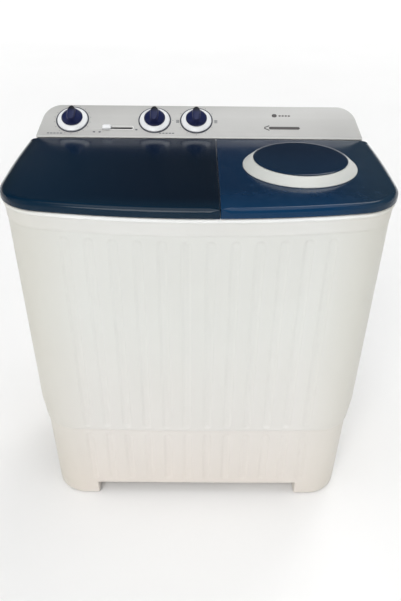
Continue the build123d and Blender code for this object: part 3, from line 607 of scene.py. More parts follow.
def galvanised(name):
    """Zinc-coated sheet with its crystal spangle."""
    n = Nodes(name)
    cells = n.add("ShaderNodeTexVoronoi")
    cells.inputs["Scale"].default_value = 85.0
    n.link(n.where, cells.inputs["Vector"])
    tone = n.add("ShaderNodeSeparateColor")
    n.link(cells.outputs["Color"], tone.inputs[0])
    col = n.mix(tone.outputs[0], (0.42, 0.44, 0.45, 1), (0.66, 0.68, 0.69, 1))
    rust = n.math("MULTIPLY", n.edges(), n.remap(n.noise(26.0, 6.0), 0.55, 0.75))
    col = n.lay(col, rust, 0.35, (0.20, 0.11, 0.06, 1))
    gloss = n.remap(tone.outputs[1], 0.0, 1.0, 0.30, 0.5)
    normal = n.bump(n.noise(500.0, 3.0), 0.12, 0.0001)
    return n.finish(col, gloss, normal, metal=1.0)


def body_plastic(name, top, bottom, low, high, dirt_and_hollow_shade=0.1):
    """The casing's off-white: warmer low down, and on the deck bright at the top as a painted highlight; painted
    shade towards the left and right sides; soft handling marks and faint mould flow.
    """
    n = Nodes(name)
    # colour by height: warmer low down on the cabinet and base; on the deck the bright top colour is a painted
    # highlight on the rim's rounded lip
    up = n.remap(n.axis(2), low, high)
    col = n.mix(up, bottom, top)
    # painted shade: darker and yellower towards the left and right sides, where the casing turns away from the
    # light
    across = n.math("ABSOLUTE", n.axis(0))
    side_shade = n.math("POWER", n.remap(across, 0.24, 0.41), 1.5)
    col = n.lay(col, side_shade, 0.75, srgb(192, 187, 170))
    cloud = n.remap(n.noise(4.5, 4.0, stretch=(1.0, 1.0, 0.6)), 0.32, 0.68)
    col = n.lay(col, cloud, 0.30, shade(top, 0.93))
    streak = n.remap(n.noise(60.0, 3.0, stretch=(1.0, 1.0, 0.05)), 0.5, 0.8)
    col = n.lay(col, streak, 0.03, shade(top, 0.8))
    smear = n.remap(n.noise(5.0, 6.0, rough=0.55, distortion=0.3), 0.45, 0.85)
    col = n.lay(col, smear, dirt_and_hollow_shade, srgb(200, 197, 190))
    worn_and_highlit_edges = n.math("MULTIPLY", n.edges(0.53, 0.60), n.cloud(30.0, 5.0))
    col = n.lay(col, worn_and_highlit_edges, 0.4, srgb(244, 244, 241))
    gloss = n.cloud(14.0, 5.0, 0.30, 0.42)
    normal = n.bump(n.noise(6.0, 2.0), 0.35, 0.0016)
    normal = n.bump(n.noise(1100.0, 3.0), 0.10, 0.0001, normal)
    return n.finish(col, gloss, normal, spec=0.45)


def lid_plastic(name, painted_light_zones, rough=(0.13, 0.17)):
    """Glossy tinted lid. The zones are (colour, axis, from, to, amount), laid over one another, and are painted
    light and shade: see-through shade over dark hollows, light over the pale deck, a lit front.

    The first is only the colour underneath."""
    n = Nodes(name)
    (col,), *others = painted_light_zones
    # painted light and shade, laid by place on the lid
    for colour, which, a, b, amount in others:
        drift = n.math("ADD", n.axis(which), n.math("MULTIPLY", n.noise(5.0, 3.0), 0.05))
        col = n.mix(n.math("MULTIPLY", n.remap(drift, a, b), amount), col, colour)
    dust = n.remap(n.noise(650.0, 2.0), 0.72, 0.82)
    film = n.remap(n.noise(9.0, 6.0, rough=0.6), 0.50, 0.80)
    col = n.mix(n.math("MULTIPLY", n.math("MULTIPLY", dust, film), 0.18), col, srgb(120, 130, 140))
    worn_and_highlit_edges = n.math("MULTIPLY", n.edges(0.53, 0.60), n.remap(n.noise(45.0, 5.0), 0.4, 0.7))
    col = n.lay(col, worn_and_highlit_edges, 0.15, srgb(80, 104, 134))
    scuffs = n.remap(n.noise(240.0, 4.0, stretch=(1.0, 0.08, 1.0)), 0.62, 0.72, 0.0, 0.10)
    gloss = n.math("ADD", n.cloud(4.0, 2.0, *rough), scuffs)
    normal = n.bump(n.noise(5.0, 1.0), 0.04, 0.0015)
    return n.finish(col, gloss, normal, ior=1.42, spec=0.25)


def silver_panel():
    """Silver-grey lacquered panel: fine flake, soft clouding, and lighter edges that are a painted highlight on
    the rounded front edge.
    """
    n = Nodes("panel_lacquer")
    base = srgb(173, 173, 171)
    cloud = n.cloud(5.0, 4.0)
    col = n.mix(cloud, shade(base, 0.95), shade(base, 1.05))
    flake = n.remap(n.noise(2600.0, 1.0), 0.55, 0.75)
    col = n.lay(col, flake, 0.12, srgb(235, 236, 238))
    scuff = n.remap(n.noise(30.0, 7.0, rough=0.62), 0.6, 0.75)
    col = n.lay(col, scuff, 0.12, srgb(160, 158, 154))
    # painted highlight: the convex edges are lightened for the light caught by the rounded front edge
    worn_and_highlit_edges = n.math("MULTIPLY", n.edges(0.515, 0.56), 0.5)
    col = n.mix(worn_and_highlit_edges, col, srgb(232, 232, 230))
    gloss = n.cloud(20.0, 5.0, 0.30, 0.42)
    normal = n.bump(n.noise(8.0, 2.0), 0.15, 0.001)
    normal = n.bump(n.noise(1500.0, 2.0), 0.08, 0.0001, normal)
    return n.finish(col, gloss, normal, coat=0.15, coat_rough=0.2)


MATS = {
    "cabinet": body_plastic("cabinet_plastic", srgb(220, 221, 217), srgb(220, 217, 213), 0.25, 0.60),
    "base": body_plastic("base_plastic", srgb(221, 217, 212), srgb(220, 212, 204), 0.04, 0.25, 0.10),
    # the deck's bright colour above 0.858 m is a painted highlight on the rim's rounded lip
    "deck": body_plastic("deck_plastic", srgb(243, 244, 243), srgb(219, 219, 215), 0.858, 0.863, 0.05),
    "back": plastic("back_cover_plastic", srgb(214, 213, 208), (0.45, 0.6), 0.05, 0.3, 700, wear=0.2,
                    dirt_and_hollow_shade=0.3),
    "console": plastic("console_plastic", srgb(214, 214, 213), (0.3, 0.42), 0.03, 0.1, wear=0.3,
                       dirt_and_hollow_shade=0.2),
    "panel": silver_panel(),
    # the wash lid's zones are painted shade and light: darkest over the tub's shaded inside, lighter and olive
    # towards the left end over the pale deck, bluer towards the back, lighter at the lit front
    "lid_wash": lid_plastic("wash_lid_plastic", [
        (srgb(4, 22, 39),),
        (srgb(6, 34, 54), 0, -0.10, -0.30, 0.7),
        (srgb(5, 19, 32), 0, -0.10, 0.04, 0.7),
        (srgb(9, 28, 52), 1, 0.02, 0.14, 0.7),
        (srgb(20, 50, 70), 1, -0.19, -0.25, 0.5),
        (srgb(24, 34, 30), 0, -0.36, -0.42, 0.8),
    ]),
    # the spin lid's zones are painted shade and light: darker towards the back, lighter at the lit front, greyer
    # at the right end over the pale deck
    "lid_spin": lid_plastic("spin_lid_plastic", [
        (srgb(8, 38, 66),),
        (srgb(12, 33, 60), 1, 0.0, 0.14, 0.8),
        (srgb(13, 54, 88), 1, -0.14, -0.23, 0.8),
        (srgb(32, 50, 64), 0, 0.28, 0.40, 0.8),
    ]),
    # the window is painted darker towards the back: painted shade
    "window": lid_plastic("spin_window_plastic", [
        (srgb(23, 42, 63),),
        (srgb(18, 33, 52), 1, -0.06, 0.04, 0.8),
    ], (0.06, 0.12)),
    "ring": plastic("spin_ring_plastic", srgb(204, 206, 202), (0.35, 0.5), 0.03, 0.12, wear=0.2,
                    dirt_and_hollow_shade=0.3),
    "skirt": plastic("dial_skirt_plastic", srgb(232, 234, 236), (0.29, 0.36), 0.02, 0.04, wear=0.2,
                     dirt_and_hollow_shade=0.25),
    "knob": plastic("knob_plastic", srgb(25, 33, 72), (0.32, 0.42), 0.08, 0.12, wear=0.25, dirt_and_hollow_shade=0.4,
                    spec=0.2, tip=(DIAL_Z + 0.0255, DIAL_Z + 0.0310, srgb(6, 10, 20))),
    "dial_line": plastic("dial_line_print", srgb(46, 50, 66), (0.4, 0.5), 0.05, 0.1, wear=0.0),
    "print": plastic("panel_print", srgb(92, 95, 100), (0.45, 0.55), 0.08, 0.1, wear=0.0),
    "print_dark": plastic("panel_print_dark", srgb(62, 58, 58), (0.35, 0.5), 0.08, 0.1, wear=0.0),
    "tub": plastic("tub_plastic", srgb(226, 229, 230), (0.34, 0.48), 0.04, 0.15, 600, dirt_and_hollow_shade=0.5),
    "basket": plastic("basket_plastic", srgb(205, 213, 220), (0.32, 0.46), 0.05, 0.15, 600, dirt_and_hollow_shade=0.5),
    "pulsator": plastic("pulsator_plastic", srgb(78, 118, 168), (0.30, 0.42), 0.07, 0.1, dirt_and_hollow_shade=0.5),
    "filter": plastic("filter_plastic", srgb(66, 104, 150), (0.4, 0.55), 0.07, 0.2, dirt_and_hollow_shade=0.4),
    "net": plastic("filter_net", srgb(210, 216, 220), (0.6, 0.8), 0.08, 0.4, 1800),
    "nylon": plastic("nylon_natural", srgb(222, 218, 202), (0.42, 0.58), 0.06, 0.2, dirt_and_hollow_shade=0.4),
    "black": plastic("nylon_black", srgb(42, 42, 44), (0.4, 0.55), 0.1, 0.3, dirt_and_hollow_shade=0.3),
    "grey": plastic("pipe_plastic", srgb(150, 153, 155), (0.45, 0.6), 0.06, 0.25, dirt_and_hollow_shade=0.5),
    "hose": plastic("spigot_plastic", srgb(120, 123, 126), (0.4, 0.55), 0.06, 0.2, dirt_and_hollow_shade=0.4),
    "capacitor": plastic("capacitor_can", srgb(226, 226, 220), (0.35, 0.5), 0.05, 0.1, dirt_and_hollow_shade=0.4),
    "zinc": metal("zinc_plate", (0.60, 0.60, 0.56, 1), (0.30, 0.44)),
    "shaft": metal("ground_steel", (0.58, 0.58, 0.58, 1), (0.14, 0.25), brushed=(1.0, 1.0, 18.0)),
    "spring": metal("spring_steel", (0.40, 0.41, 0.43, 1), (0.30, 0.44)),
    "cast": metal("cast_alloy", (0.56, 0.56, 0.55, 1), (0.42, 0.62), bump=0.5),
    "motor": metal("motor_shell", (0.44, 0.45, 0.47, 1), (0.38, 0.55), bump=0.35, spots=0.3),
    "bronze": metal("bronze_bush", (0.55, 0.36, 0.16, 1), (0.3, 0.45)),
    "sheet": galvanised("galvanised_sheet"),
    "rubber": rubber("black_rubber"),
    "belt": rubber("belt_rubber", rough=(0.5, 0.7), dust=0.4),
    "seal": rubber("seal_rubber", (0.03, 0.03, 0.032, 1.0)),
}

SLOT_MATS = {
    "base_plastic": "base", "rubber_pad": "rubber", "cabinet_plastic": "cabinet",
    "back_panel": "back", "zinc_screw": "zinc", "deck_plastic": "deck", "tub_plastic": "tub",
    "filter_blue": "filter", "lid_blue_dark": "lid_wash", "lid_blue": "lid_spin",
    "ring_cream": "ring", "window_blue": "window", "console_plastic": "console",
    "panel_silver": "console", "dial_line": "dial_line", "timer_body": "nylon",
    "knob_skirt": "skirt", "knob_blue": "knob", "hose_grey": "hose", "pulsator_blue": "pulsator",
    "steel_shaft": "shaft", "pulley_grey": "black", "cast_aluminium": "cast",
    "bronze_bush": "bronze", "galvanised": "sheet", "motor_alloy": "motor",
    "belt_rubber": "belt", "spring_steel": "spring", "basket_plastic": "basket",
    "seal_rubber": "seal", "pipe_grey": "grey", "valve_rod": "nylon", "capacitor": "capacitor",
}
for part in frame["record"]["subparts"]:
    node = NODES[part["node"]]
    node.data.materials.clear()
    node.data.materials.append(MATS[SLOT_MATS[part["material_slot"]]])
    node.data.polygons.foreach_set("use_smooth", [True] * len(node.data.polygons))
    node.data.set_sharp_from_angle(angle=radians(32))


# ---------------------------------------------------------------- casing
# OPENING is the service opening's half width, low and high.
CABINET_BACKS = [0.349, 0.335, 0.268, 0.2, 0.1, 0.0]
OPENING = (0.335, 0.275, 0.760)
CABINET_FLUTE_Z = (0.266, 0.818)
CABINET_SIDE_FLUTE_Z = 0.330
BASE_FLUTE_Z = (0.062, 0.243)


def make_cabinet():
    """Fluted shell with the service opening in its back."""
    fronts = flute_stations(FLUTE_X, 0.0, 0.292, 0.006)
    sides = flute_stations(FLUTE_Y, -0.120, 0.115, 0.006)
    z0, z1 = BASE_TOP, DECK_BOTTOM
    heights = [z0 + 0.0006, z0 + 0.0022, z0 + 0.005]
    for low, high, step in ((z0 + 0.008, 0.300, 0.0025), (0.300, 0.356, 0.004),
                            (0.365, 0.785, 0.015), (0.788, 0.822, 0.0022)):
        heights += list(np.arange(low, high, step))
    heights += [OPENING[2], 0.824, z1 - 0.0015, z1]
    heights = sorted(set(np.round(heights, 5)))
    hem = 0.0022
    rows = [(z0, 0.0035), (z0, hem)]
    rows += [(z, hem * (1 - min((z - z0) / 0.005, 1)) ** 2) for z in heights]
    verts = []
    for z, inset in rows:
        p, n = full_plan(blend_plans(CABINET_PLANS, z), fronts, sides, CABINET_BACKS)
        depth = flute_depth(p, n, z, *CABINET_FLUTE_Z, CABINET_SIDE_FLUTE_Z) + inset
        q = p - n * depth[:, None]
        verts += [(x, y, z) for x, y in q]
    v = np.array(verts)
    wide, low, high = OPENING

    def outside_opening(face):
        x, y, z = v[face].mean(0)
        return not (y > REAR - 0.002 and abs(x) < wide and low < z < high)

    faces = [f for f in loop_faces(len(p), len(rows)) if outside_opening(f)]
    obj = add_mesh("cabinet_shell", verts, faces, MATS["cabinet"], "casing", ["cabinet"],
                   "cabinet_plastic", smooth=50)
    thicken(obj, 0.0028, -1)


FOOT_X = 0.268
FOOT_Y = (-0.098, 0.150)
FOOT_H = 0.045
FOOT_R = 0.005
SOLE_R = 0.006
TOP_R = 0.002
FOOT_EDGE = (0.0003, 0.0009, 0.0018, 0.003, FOOT_R)
SERVICE_HOLE = (-0.262, 0.070, -0.148, 0.122)


def edge_inset(away, radius):
    """How far a rounded edge draws a surface in, at a distance from that edge."""
    left = min(max(radius - away, 0.0), radius)
    return radius - sqrt(radius**2 - left**2)


def in_gap(x, y, side):
    """Whether a point of the wall lies between two feet."""
    return FOOT_Y[0] < y < FOOT_Y[1] if side else abs(x) < FOOT_X


def base_stations():
    """Stations of the base's wall, close together at the flutes and the feet's edges."""
    fronts = flute_stations(FLUTE_X, 0.0, 0.292, 0.006)
    fronts = sorted(set(np.round([*fronts, FOOT_X, *[FOOT_X + d for d in FOOT_EDGE]], 5)))
    sides = flute_stations(FLUTE_Y, -0.113, 0.160, 0.007) + list(FOOT_Y)
    sides += [FOOT_Y[0] - d for d in FOOT_EDGE] + [FOOT_Y[1] + d for d in FOOT_EDGE]
    backs = [0.35, *[FOOT_X + d for d in FOOT_EDGE[::-1]], FOOT_X, 0.2, 0.1, 0.0]
    heights = [PAD_H + d for d in (0.0, 0.0004, 0.0012, 0.0024, 0.004, SOLE_R)]
    heights += list(np.linspace(0.014, 0.040, 4)) + [FOOT_H] + [FOOT_H + d for d in FOOT_EDGE]
    for low, high, step in ((0.056, 0.090, 0.0028), (0.092, 0.222, 0.012), (0.222, 0.250, 0.0028)):
        heights += list(np.arange(low, high, step))
    heights += [BASE_TOP - TOP_R, BASE_TOP - 0.0006, BASE_TOP]
    return fronts, sorted(set(np.round(sides, 5))), backs, sorted(set(np.round(heights, 5)))


def base_row(z, fronts, sides, backs):
    """One row of the wall, drawn in at the flutes and at the edges of feet and gaps."""
    p, n = full_plan(blend_plans(BASE_PLANS, z), fronts, sides, backs)
    depth = flute_depth(p, n, z, *BASE_FLUTE_Z, BASE_FLUTE_Z[0])
    for k, (x, y) in enumerate(p):
        if abs(n[k][0]) > 0.9:
            along = min(y - FOOT_Y[0], FOOT_Y[1] - y)
        else:
            along = -1.0 if abs(x) > 0.30 else FOOT_X - abs(x)
        away = hypot(max(-along, 0), max(z - FOOT_H, 0))
        depth[k] = max(depth[k], edge_inset(away, FOOT_R))
        depth[k] += edge_inset(z - PAD_H, SOLE_R) + edge_inset(BASE_TOP - z, TOP_R)
    return p, n, p - n * depth[:, None]


def foot_parts(verts, p0, heights):
    """Sole and inner walls of each corner foot, from the wall's own points."""
    count = len(p0)
    rows = [i for i, z in enumerate(heights) if z <= FOOT_H + 1e-6]
    parts = []
    for sx, yin in ((-1, FOOT_Y[0]), (-1, FOOT_Y[1]), (1, FOOT_Y[0]), (1, FOOT_Y[1])):
        out = -1 if yin < 0 else 1
        xin = sx * FOOT_X
        cols = [k for k, (x, y) in enumerate(p0)
                if x * sx >= FOOT_X - 1e-5 and (y - yin) * out >= -1e-5]
        sole = sorted((verts[k] for k in cols), key=lambda q: atan2(q[1] - yin, (q[0] - xin) * sx))
        parts.append(([*sole, (xin, yin, heights[0])], [list(range(len(sole) + 1))]))
        for end in (min(cols, key=lambda k: abs(abs(verts[k][0]) - FOOT_X)),
                    min(cols, key=lambda k: abs(verts[k][1] - yin))):
            edge = [verts[r * count + end] for r in rows]
            inner = [(xin, yin, q[2]) for q in edge]
            m = len(edge)
            parts.append((edge + inner, [[r, r + 1, m + r + 1, m + r] for r in range(m - 1)]))
    return parts


def make_base():
    """Footed base: one wall around, whose lower edge is rounded along the feet and the gaps."""
    fronts, sides, backs, heights = base_stations()
    verts = []
    for z in heights:
        p, n, q = base_row(z, fronts, sides, backs)
        if not verts:
            p0, n0 = p, n
        verts += [(x, y, z) for x, y in q]
    count = len(p0)
    v = np.array(verts)
    faces = []
    for f in loop_faces(count, len(heights)):
        c = v[f].mean(0)
        k = f[0] % count
        side = abs(n0[k][0] + n0[(k + 1) % count][0]) / 2 > 0.9
        if c[2] > FOOT_H or not in_gap(c[0], c[1], side):
            faces.append(f)
    bm = bmesh.new()
    vs, fs = merge([(verts, faces), *foot_parts(verts, p0, heights)])
    made = [bm.verts.new(q) for q in vs]
    for f in fs:
        bm.faces.new([made[i] for i in f])
    bmesh.ops.remove_doubles(bm, verts=bm.verts[:], dist=2e-5)
    bm_to("base_shell", bm, MATS["base"], "casing", replaces=["base"], slot="base_plastic",
          smooth=40)
    x0, x1, y0, y1 = SERVICE_HOLE
    hole = [(x0, y0), (x0, y1), (x1, y1), (x1, y0)]
    inside = plan_loop(blend_plans(BASE_PLANS, FOOT_H), 0.0045, 8, 6)
    plate("base_floor", [inside, hole], FOOT_H + 0.0002, FOOT_H + 0.004, 0.0008, MATS["base"],
          "casing", slot="base_plastic")


def rounded_rect(x0, x1, y0, y1, r, steps=10):
    """A rounded rectangle, counter-clockwise."""
    loop = []
    for cx, cy, a0 in ((x1 - r, y0 + r, -pi / 2), (x1 - r, y1 - r, 0), (x0 + r, y1 - r, pi / 2),
                       (x0 + r, y0 + r, pi)):
        loop += [(cx + r * cos(a0 + a), cy + r * sin(a0 + a)) for a in quarter(steps)]
    return loop


def circle(x, y, r, steps=96):
    turns = [2 * pi * k / steps for k in range(steps)]
    return [(x + r * cos(a), y + r * sin(a)) for a in turns]


# wash tub at its rim and floor: x and y ends, corner radius
TUB_TOP = (-0.394, 0.034, -0.202, 0.136, 0.060)
TUB_BOTTOM = (-0.376, 0.016, -0.190, 0.124, 0.040)
TUB_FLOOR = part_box("wash_tub")[0].z
FLANGE_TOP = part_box("wash_tub")[1].z


KNUCKLE_R = 0.0046
KNUCKLE_HALF = 0.004
LUG_OFF = 0.0085
SPIN_MOUTH = 0.158
DECK_STATIONS = (np.linspace(0, 0.28, 57), np.linspace(-0.1, 0.15, 26), [0.3, 0.2, 0.1, 0.0])


def tub_loop(size, inset, steps=14):
    x0, x1, y0, y1, r = size
    return rounded_rect(x0 + inset, x1 - inset, y0 + inset, y1 - inset, max(r - inset, 0.004), steps)


def deck_rows():
    """(height, inset) rows of the rim: lip, foot, side, step out, round edge, inner step."""
    lower, upper = BAND_PLANS[0][0], BAND_PLANS[1][0]
    side_in, r = 0.0026, 0.006
    rows = [(lower + 0.012, 0.0046), (lower, 0.0046), (lower, 0.0030), (lower + 0.0005, 0.0021)]
    rows += [(lower + 0.0016, side_in)]
    rows += [(z, side_in) for z in np.linspace(lower + 0.006, upper - 0.0125, 5)]
    rows += [(upper - 0.0115, side_in), (upper - 0.0105, 0.0019), (upper - 0.0095, 0.0007),
             (upper - 0.0085, 0.0)]
    rows += [(upper - r + r * sin(a), r - r * cos(a)) for a in quarter()]
    rows += [(upper, 0.0078), (upper - 0.0004, 0.0088), (upper - 0.0012, 0.0092)]
    return rows + [(DECK_TOP + 0.0008, 0.0092), (DECK_TOP + 0.0002, 0.0096), (DECK_TOP, 0.0104)]


def make_deck():
    """Rim, plate with its two mouths, and hinge lugs. The rim is lower beside the hinges."""
    rows = deck_rows()
    dip, dip_from, dip_over = 0.95, HINGE_AT[1] - 0.022, 0.010
    verts = []
    for z, inset in rows:
        p, n = full_plan(blend_plans(BAND_PLANS, z), *DECK_STATIONS)
        for x, y in p - n * inset:
            low = smoothstep(np.clip((y - dip_from) / dip_over, 0.0, 1.0))
            rise = (z - DECK_TOP) * (1 - dip * low) if z > DECK_TOP else z - DECK_TOP
            verts.append((x, y, DECK_TOP + rise))
    add_mesh("deck_band", verts, loop_faces(len(p), len(rows)), MATS["deck"], "casing",
             ["top_deck"], "deck_plastic", smooth=50)
    outer = plan_loop(blend_plans(BAND_PLANS, DECK_TOP), 0.0098)
    wash = tub_loop(TUB_TOP, 0.008)[::-1]
    spin = circle(*BASKET_AT[:2], SPIN_MOUTH)[::-1]
    plate("deck_plate", [outer, wash, spin], DECK_TOP - 0.003, DECK_TOP, 0.0011, MATS["deck"],
          "casing", slot="deck_plastic")
    bm = bmesh.new()
    y, z, r = HINGE_AT[1], HINGE_AT[2], KNUCKLE_R
    outline = [(y - r - 0.0015, DECK_TOP), (y + r - 0.0003, DECK_TOP), (y + r, z - 0.002)]
    outline += [(y + r * cos(a), z + r * sin(a)) for a in np.linspace(0, pi, 13)]
    outline += [(y - r, z - 0.002)]
    for left, right in HINGE_X.values():
        prism(bm, left - LUG_OFF, KNUCKLE_HALF, outline)
        prism(bm, right + LUG_OFF, KNUCKLE_HALF, outline)
    obj = bm_to("hinge_lugs", bm, MATS["deck"], "casing", slot="deck_plastic", smooth=40)
    bevel(obj, 0.0006, 2, 40)


# ---------------------------------------------------------------- lids
def clip(poly, point, normal):
    """Part of a convex polygon on the side a normal points to."""
    out = []
    point, normal = np.array(point), np.array(normal)
    for a, b in zip(poly, poly[1:] + poly[:1]):
        da, db = (np.array(a) - point) @ normal, (np.array(b) - point) @ normal
        if da >= 0:
            out.append(a)
        if (da >= 0) != (db >= 0):
            t = da / (da - db)
            out.append(tuple(np.array(a) + t * (np.array(b) - np.array(a))))
    return out


def round_corners(poly, radius):
    """A closed outline with its sharp corners rounded."""
    out = []
    for a, b, c in zip(poly[-1:] + poly[:-1], poly, poly[1:] + poly[:1]):
        out += corner_curve(a, b, c, radius, 5, 0.45, radians(40))
    return out


def round_rear(poly, radius):
    """Round the outer rear corner of a lid outline."""
    corner = max((q for q in poly if q[1] > LID_REAR - 1e-6), key=lambda q: abs(q[0]))
    side = 1 if corner[0] > 0 else -1
    cx, cy = corner[0] - side * radius, LID_REAR - radius

    def beyond(q):
        return (q[0] - cx) * side > 0 and q[1] > cy

    first = next(i for i, q in enumerate(poly) if beyond(q) and not beyond(poly[i - 1]))
    kept = [q for q in poly[first:] + poly[:first] if not beyond(q)]
    arc = [(cx + side * radius * cos(a), cy + radius * sin(a)) for a in quarter(10)]
    return (arc[::-1] if abs(kept[-1][1] - LID_REAR) < 0.001 else arc) + kept


def poly_normals(poly):
    """Outward directions at an outline's points, longer where it turns."""
    p = np.array(poly)
    ahead, behind = np.roll(p, -1, 0), np.roll(p, 1, 0)
    e1, e0 = ahead - p, p - behind
    e1 /= np.linalg.norm(e1, axis=1)[:, None]
    e0 /= np.linalg.norm(e0, axis=1)[:, None]
    t = e0 + e1
    t /= np.linalg.norm(t, axis=1)[:, None]
    cosine = np.clip((t * e1).sum(1), 0.5, 1)
    return np.stack([t[:, 1], -t[:, 0]], 1) / cosine[:, None]


def lid_outline(x0, x1):
    """Plan outline of a lid between two places across the washer."""
    p, _ = full_plan(LID_PLAN, np.linspace(0, 0.28, 15), np.linspace(-0.1, 0.12, 8),
                     [0.3, 0.15, 0.0])
    poly = clip([tuple(q) for q in p], (0, LID_REAR), (0, -1))
    poly = clip(poly, (x0, 0), (1, 0))
    poly = clip(poly, (x1, 0), (-1, 0))
    return round_corners(round_rear(poly, 0.024), 0.0035)


LIDS = {"wash_lid": ("lid_wash", "lid_blue_dark"), "spin_lid": ("lid_spin", "lid_blue")}
LID_SKIN = 0.003
EDGE_R = 0.0125
EDGE_DROP = 0.0115
# what share of the edge's rounding goes at the rear, and what share stays at the seam
REAR_EASE = 0.78
SEAM_EDGE = 0.085


def make_lid(body, poly, hole=()):
    """A lid shell: rounded outer edge, thin skirt, hollow underside, open along the hinge.

    Its edge is tighter at the rear and nearly square at the seam between the lids."""
    p, n = np.array(poly), poly_normals(poly)
    count = len(p)
    seam = SPLIT_L if body == "wash_lid" else SPLIT_R
    k = 1.0 - REAR_EASE * smoothstep(np.clip((p[:, 1] - LID_REAR + 0.024) / 0.020, 0.0, 1.0))
    k[np.abs(p[:, 0] - seam) < 0.004] = SEAM_EDGE
    hinge_side = p[:, 1] > LID_REAR - 0.0036
    foot = np.where(hinge_side, LID_TOP - 0.006, LID_BOTTOM)
    rows = [(LID_SKIN, np.minimum(foot + 0.0132, LID_TOP - 0.0032)), (0.0028, foot + 0.0006),
            (0.0020, foot), (0.0009, foot), (0.0002, foot + 0.0005), (0.0, foot + 0.0014)]
    for j, a in enumerate(quarter()):
        z = np.maximum(LID_TOP - EDGE_DROP * k * (1 - sin(a)), foot + 0.0016 + 0.0001 * j)
        rows.append((EDGE_R * (1 - cos(a)) * k, np.minimum(z, LID_TOP)))
    rows.append(((EDGE_R + 0.0015) * k, np.full(count, LID_TOP)))
    bm = bmesh.new()
    made = []
    for inset, z in rows:
        q = p - n * np.broadcast_to(inset, (count,))[:, None]
        made += [bm.verts.new((x, y, h)) for (x, y), h in zip(q, z)]
    for f in loop_faces(count, len(rows)):
        bm.faces.new([made[i] for i in f])
    over = [bm.verts.new((x, y, LID_TOP)) for x, y in hole]
    under = [bm.verts.new((x, y, LID_TOP - LID_SKIN)) for x, y in hole]
    fill_loop(bm, made[-count:], over)
    fill_loop(bm, made[:count], under)
    bridge(bm, over, under)
    material, slot = LIDS[body]
    obj = bm_to(body + "_shell", bm, MATS[material], body, replaces=[body], slot=slot, smooth=45)
    weighted(obj)


def make_knuckles():
    """Barrels under each lid's rear edge, next to the deck's lugs."""
    y, z, r = HINGE_AT[1], HINGE_AT[2], KNUCKLE_R
    outline = [(y - r, LID_TOP - LID_SKIN), (y - r, z)]
    outline += [(y - r * cos(a), z - r * sin(a)) for a in np.linspace(0.2, pi - 0.2, 12)]
    outline += [(y + r, z), (y + r, LID_TOP - LID_SKIN)]
    for body, (material, slot) in LIDS.items():
        bm = bmesh.new()
        for x in HINGE_X[body]:
            prism(bm, x, KNUCKLE_HALF, outline)
        obj = bm_to(body + "_knuckles", bm, MATS[material], body, slot=slot, smooth=40)
        bevel(obj, 0.0005, 2, 40)


RING_R = 0.127
WINDOW_R = 0.105
WINDOW_HOLE = 0.101


def make_lids():
    at = BASKET_AT[:2]
    make_lid("wash_lid", lid_outline(-1, SPLIT_L + 0.0004))
    make_lid("spin_lid", lid_outline(SPLIT_R - 0.0004, 1), circle(*at, WINDOW_HOLE, 72))
    make_knuckles()
    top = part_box("spin_lid_ring")[1].z
    profile = [
        (RING_R - 0.0035, LID_TOP + 0.0002), (RING_R, LID_TOP + 0.0002), (RING_R, LID_TOP + 0.0022),
        (WINDOW_R + 0.0035, top - 0.0006), (WINDOW_R + 0.0024, top), (WINDOW_R - 0.004, top),
        (WINDOW_R - 0.004, top - 0.003), (WINDOW_R + 0.001, top - 0.003),
        (RING_R - 0.0035, LID_TOP + 0.0002),
    ]
    v, f = lathe(rounded(profile, 0.0011, 3), at, 144)
    add_mesh("spin_ring", v, f, MATS["ring"], "spin_lid", ["spin_lid_ring"], "ring_cream", smooth=50)
    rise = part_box("spin_lid_window")[1].z - top - 0.0031
    dome = [(0.0, top + 0.0003), (WINDOW_R - 0.006, top + 0.0003), (WINDOW_R, top + 0.0003),
            (WINDOW_R, top + 0.0018), (WINDOW_R - 0.0035, top + 0.0031)]
    dome = rounded(dome, 0.0009, 3)
    for t in np.linspace(0.06, 1, 22):
        dome.append(((WINDOW_R - 0.0035) * (1 - t), top + 0.0031 + rise * (1 - (1 - t) ** 2)))
    v, f = lathe(dome, at, 144)
    add_mesh("spin_window", v, f, MATS["window"], "spin_lid", ["spin_lid_window"], "window_blue",
             smooth=50)


# ---------------------------------------------------------------- console
SLOPE = atan2(PANEL_TOP - LID_TOP, CONSOLE_REAR - CONSOLE_FRONT)
PANEL_AT = Matrix.Translation((0, CONSOLE_FRONT, LID_TOP)) @ Matrix.Rotation(SLOPE, 4, "X")
HALF_FRONT = 0.407
HALF_REAR = 0.387
CONSOLE_CORNER_R = 0.046
DIALS = ("wash_timer", "drain_selector", "spin_timer")


def dial_matrix(name):
    """Frame of a dial: its axis on the panel's normal, its pointer up the slope."""
    at = Vector(JOINTS[name + "_turn"]["pos_m"])
    return Matrix.Translation(at) @ Matrix.Rotation(SLOPE, 4, "X")


def console_outline():
    """Console plan: a trapezoid with rounded rear corners."""
    poly = [(-HALF_FRONT, CONSOLE_FRONT), (HALF_FRONT, CONSOLE_FRONT), (HALF_REAR, CONSOLE_REAR),
            (-HALF_REAR, CONSOLE_REAR)]
    out = []
    for i, (x, y) in enumerate(poly):
        r, steps = (CONSOLE_CORNER_R, 10) if y == CONSOLE_REAR else (0.004, 4)
        p0, p1, p2 = np.array(poly[i - 1]), np.array((x, y)), np.array(poly[(i + 1) % 4])
        u, v = p0 - p1, p2 - p1
        u, v = u / np.linalg.norm(u), v / np.linalg.norm(v)
        half = np.arccos(np.clip(u @ v, -1, 1)) / 2
        reach = r / np.tan(half)
        centre = p1 + (u + v) / np.linalg.norm(u + v) * (r / np.sin(half))
        s, e = p1 + u * reach - centre, p1 + v * reach - centre
        a0, a1 = atan2(s[1], s[0]), atan2(e[1], e[0])
        while a1 < a0:
            a1 += 2 * pi
        for k in range(steps + 1):
            t = a0 + (a1 - a0) * k / steps
            out.append((centre[0] + r * cos(t), centre[1] + r * sin(t)))
    return out


SLOT_S = 0.030
SLOT_LENGTH = 0.070


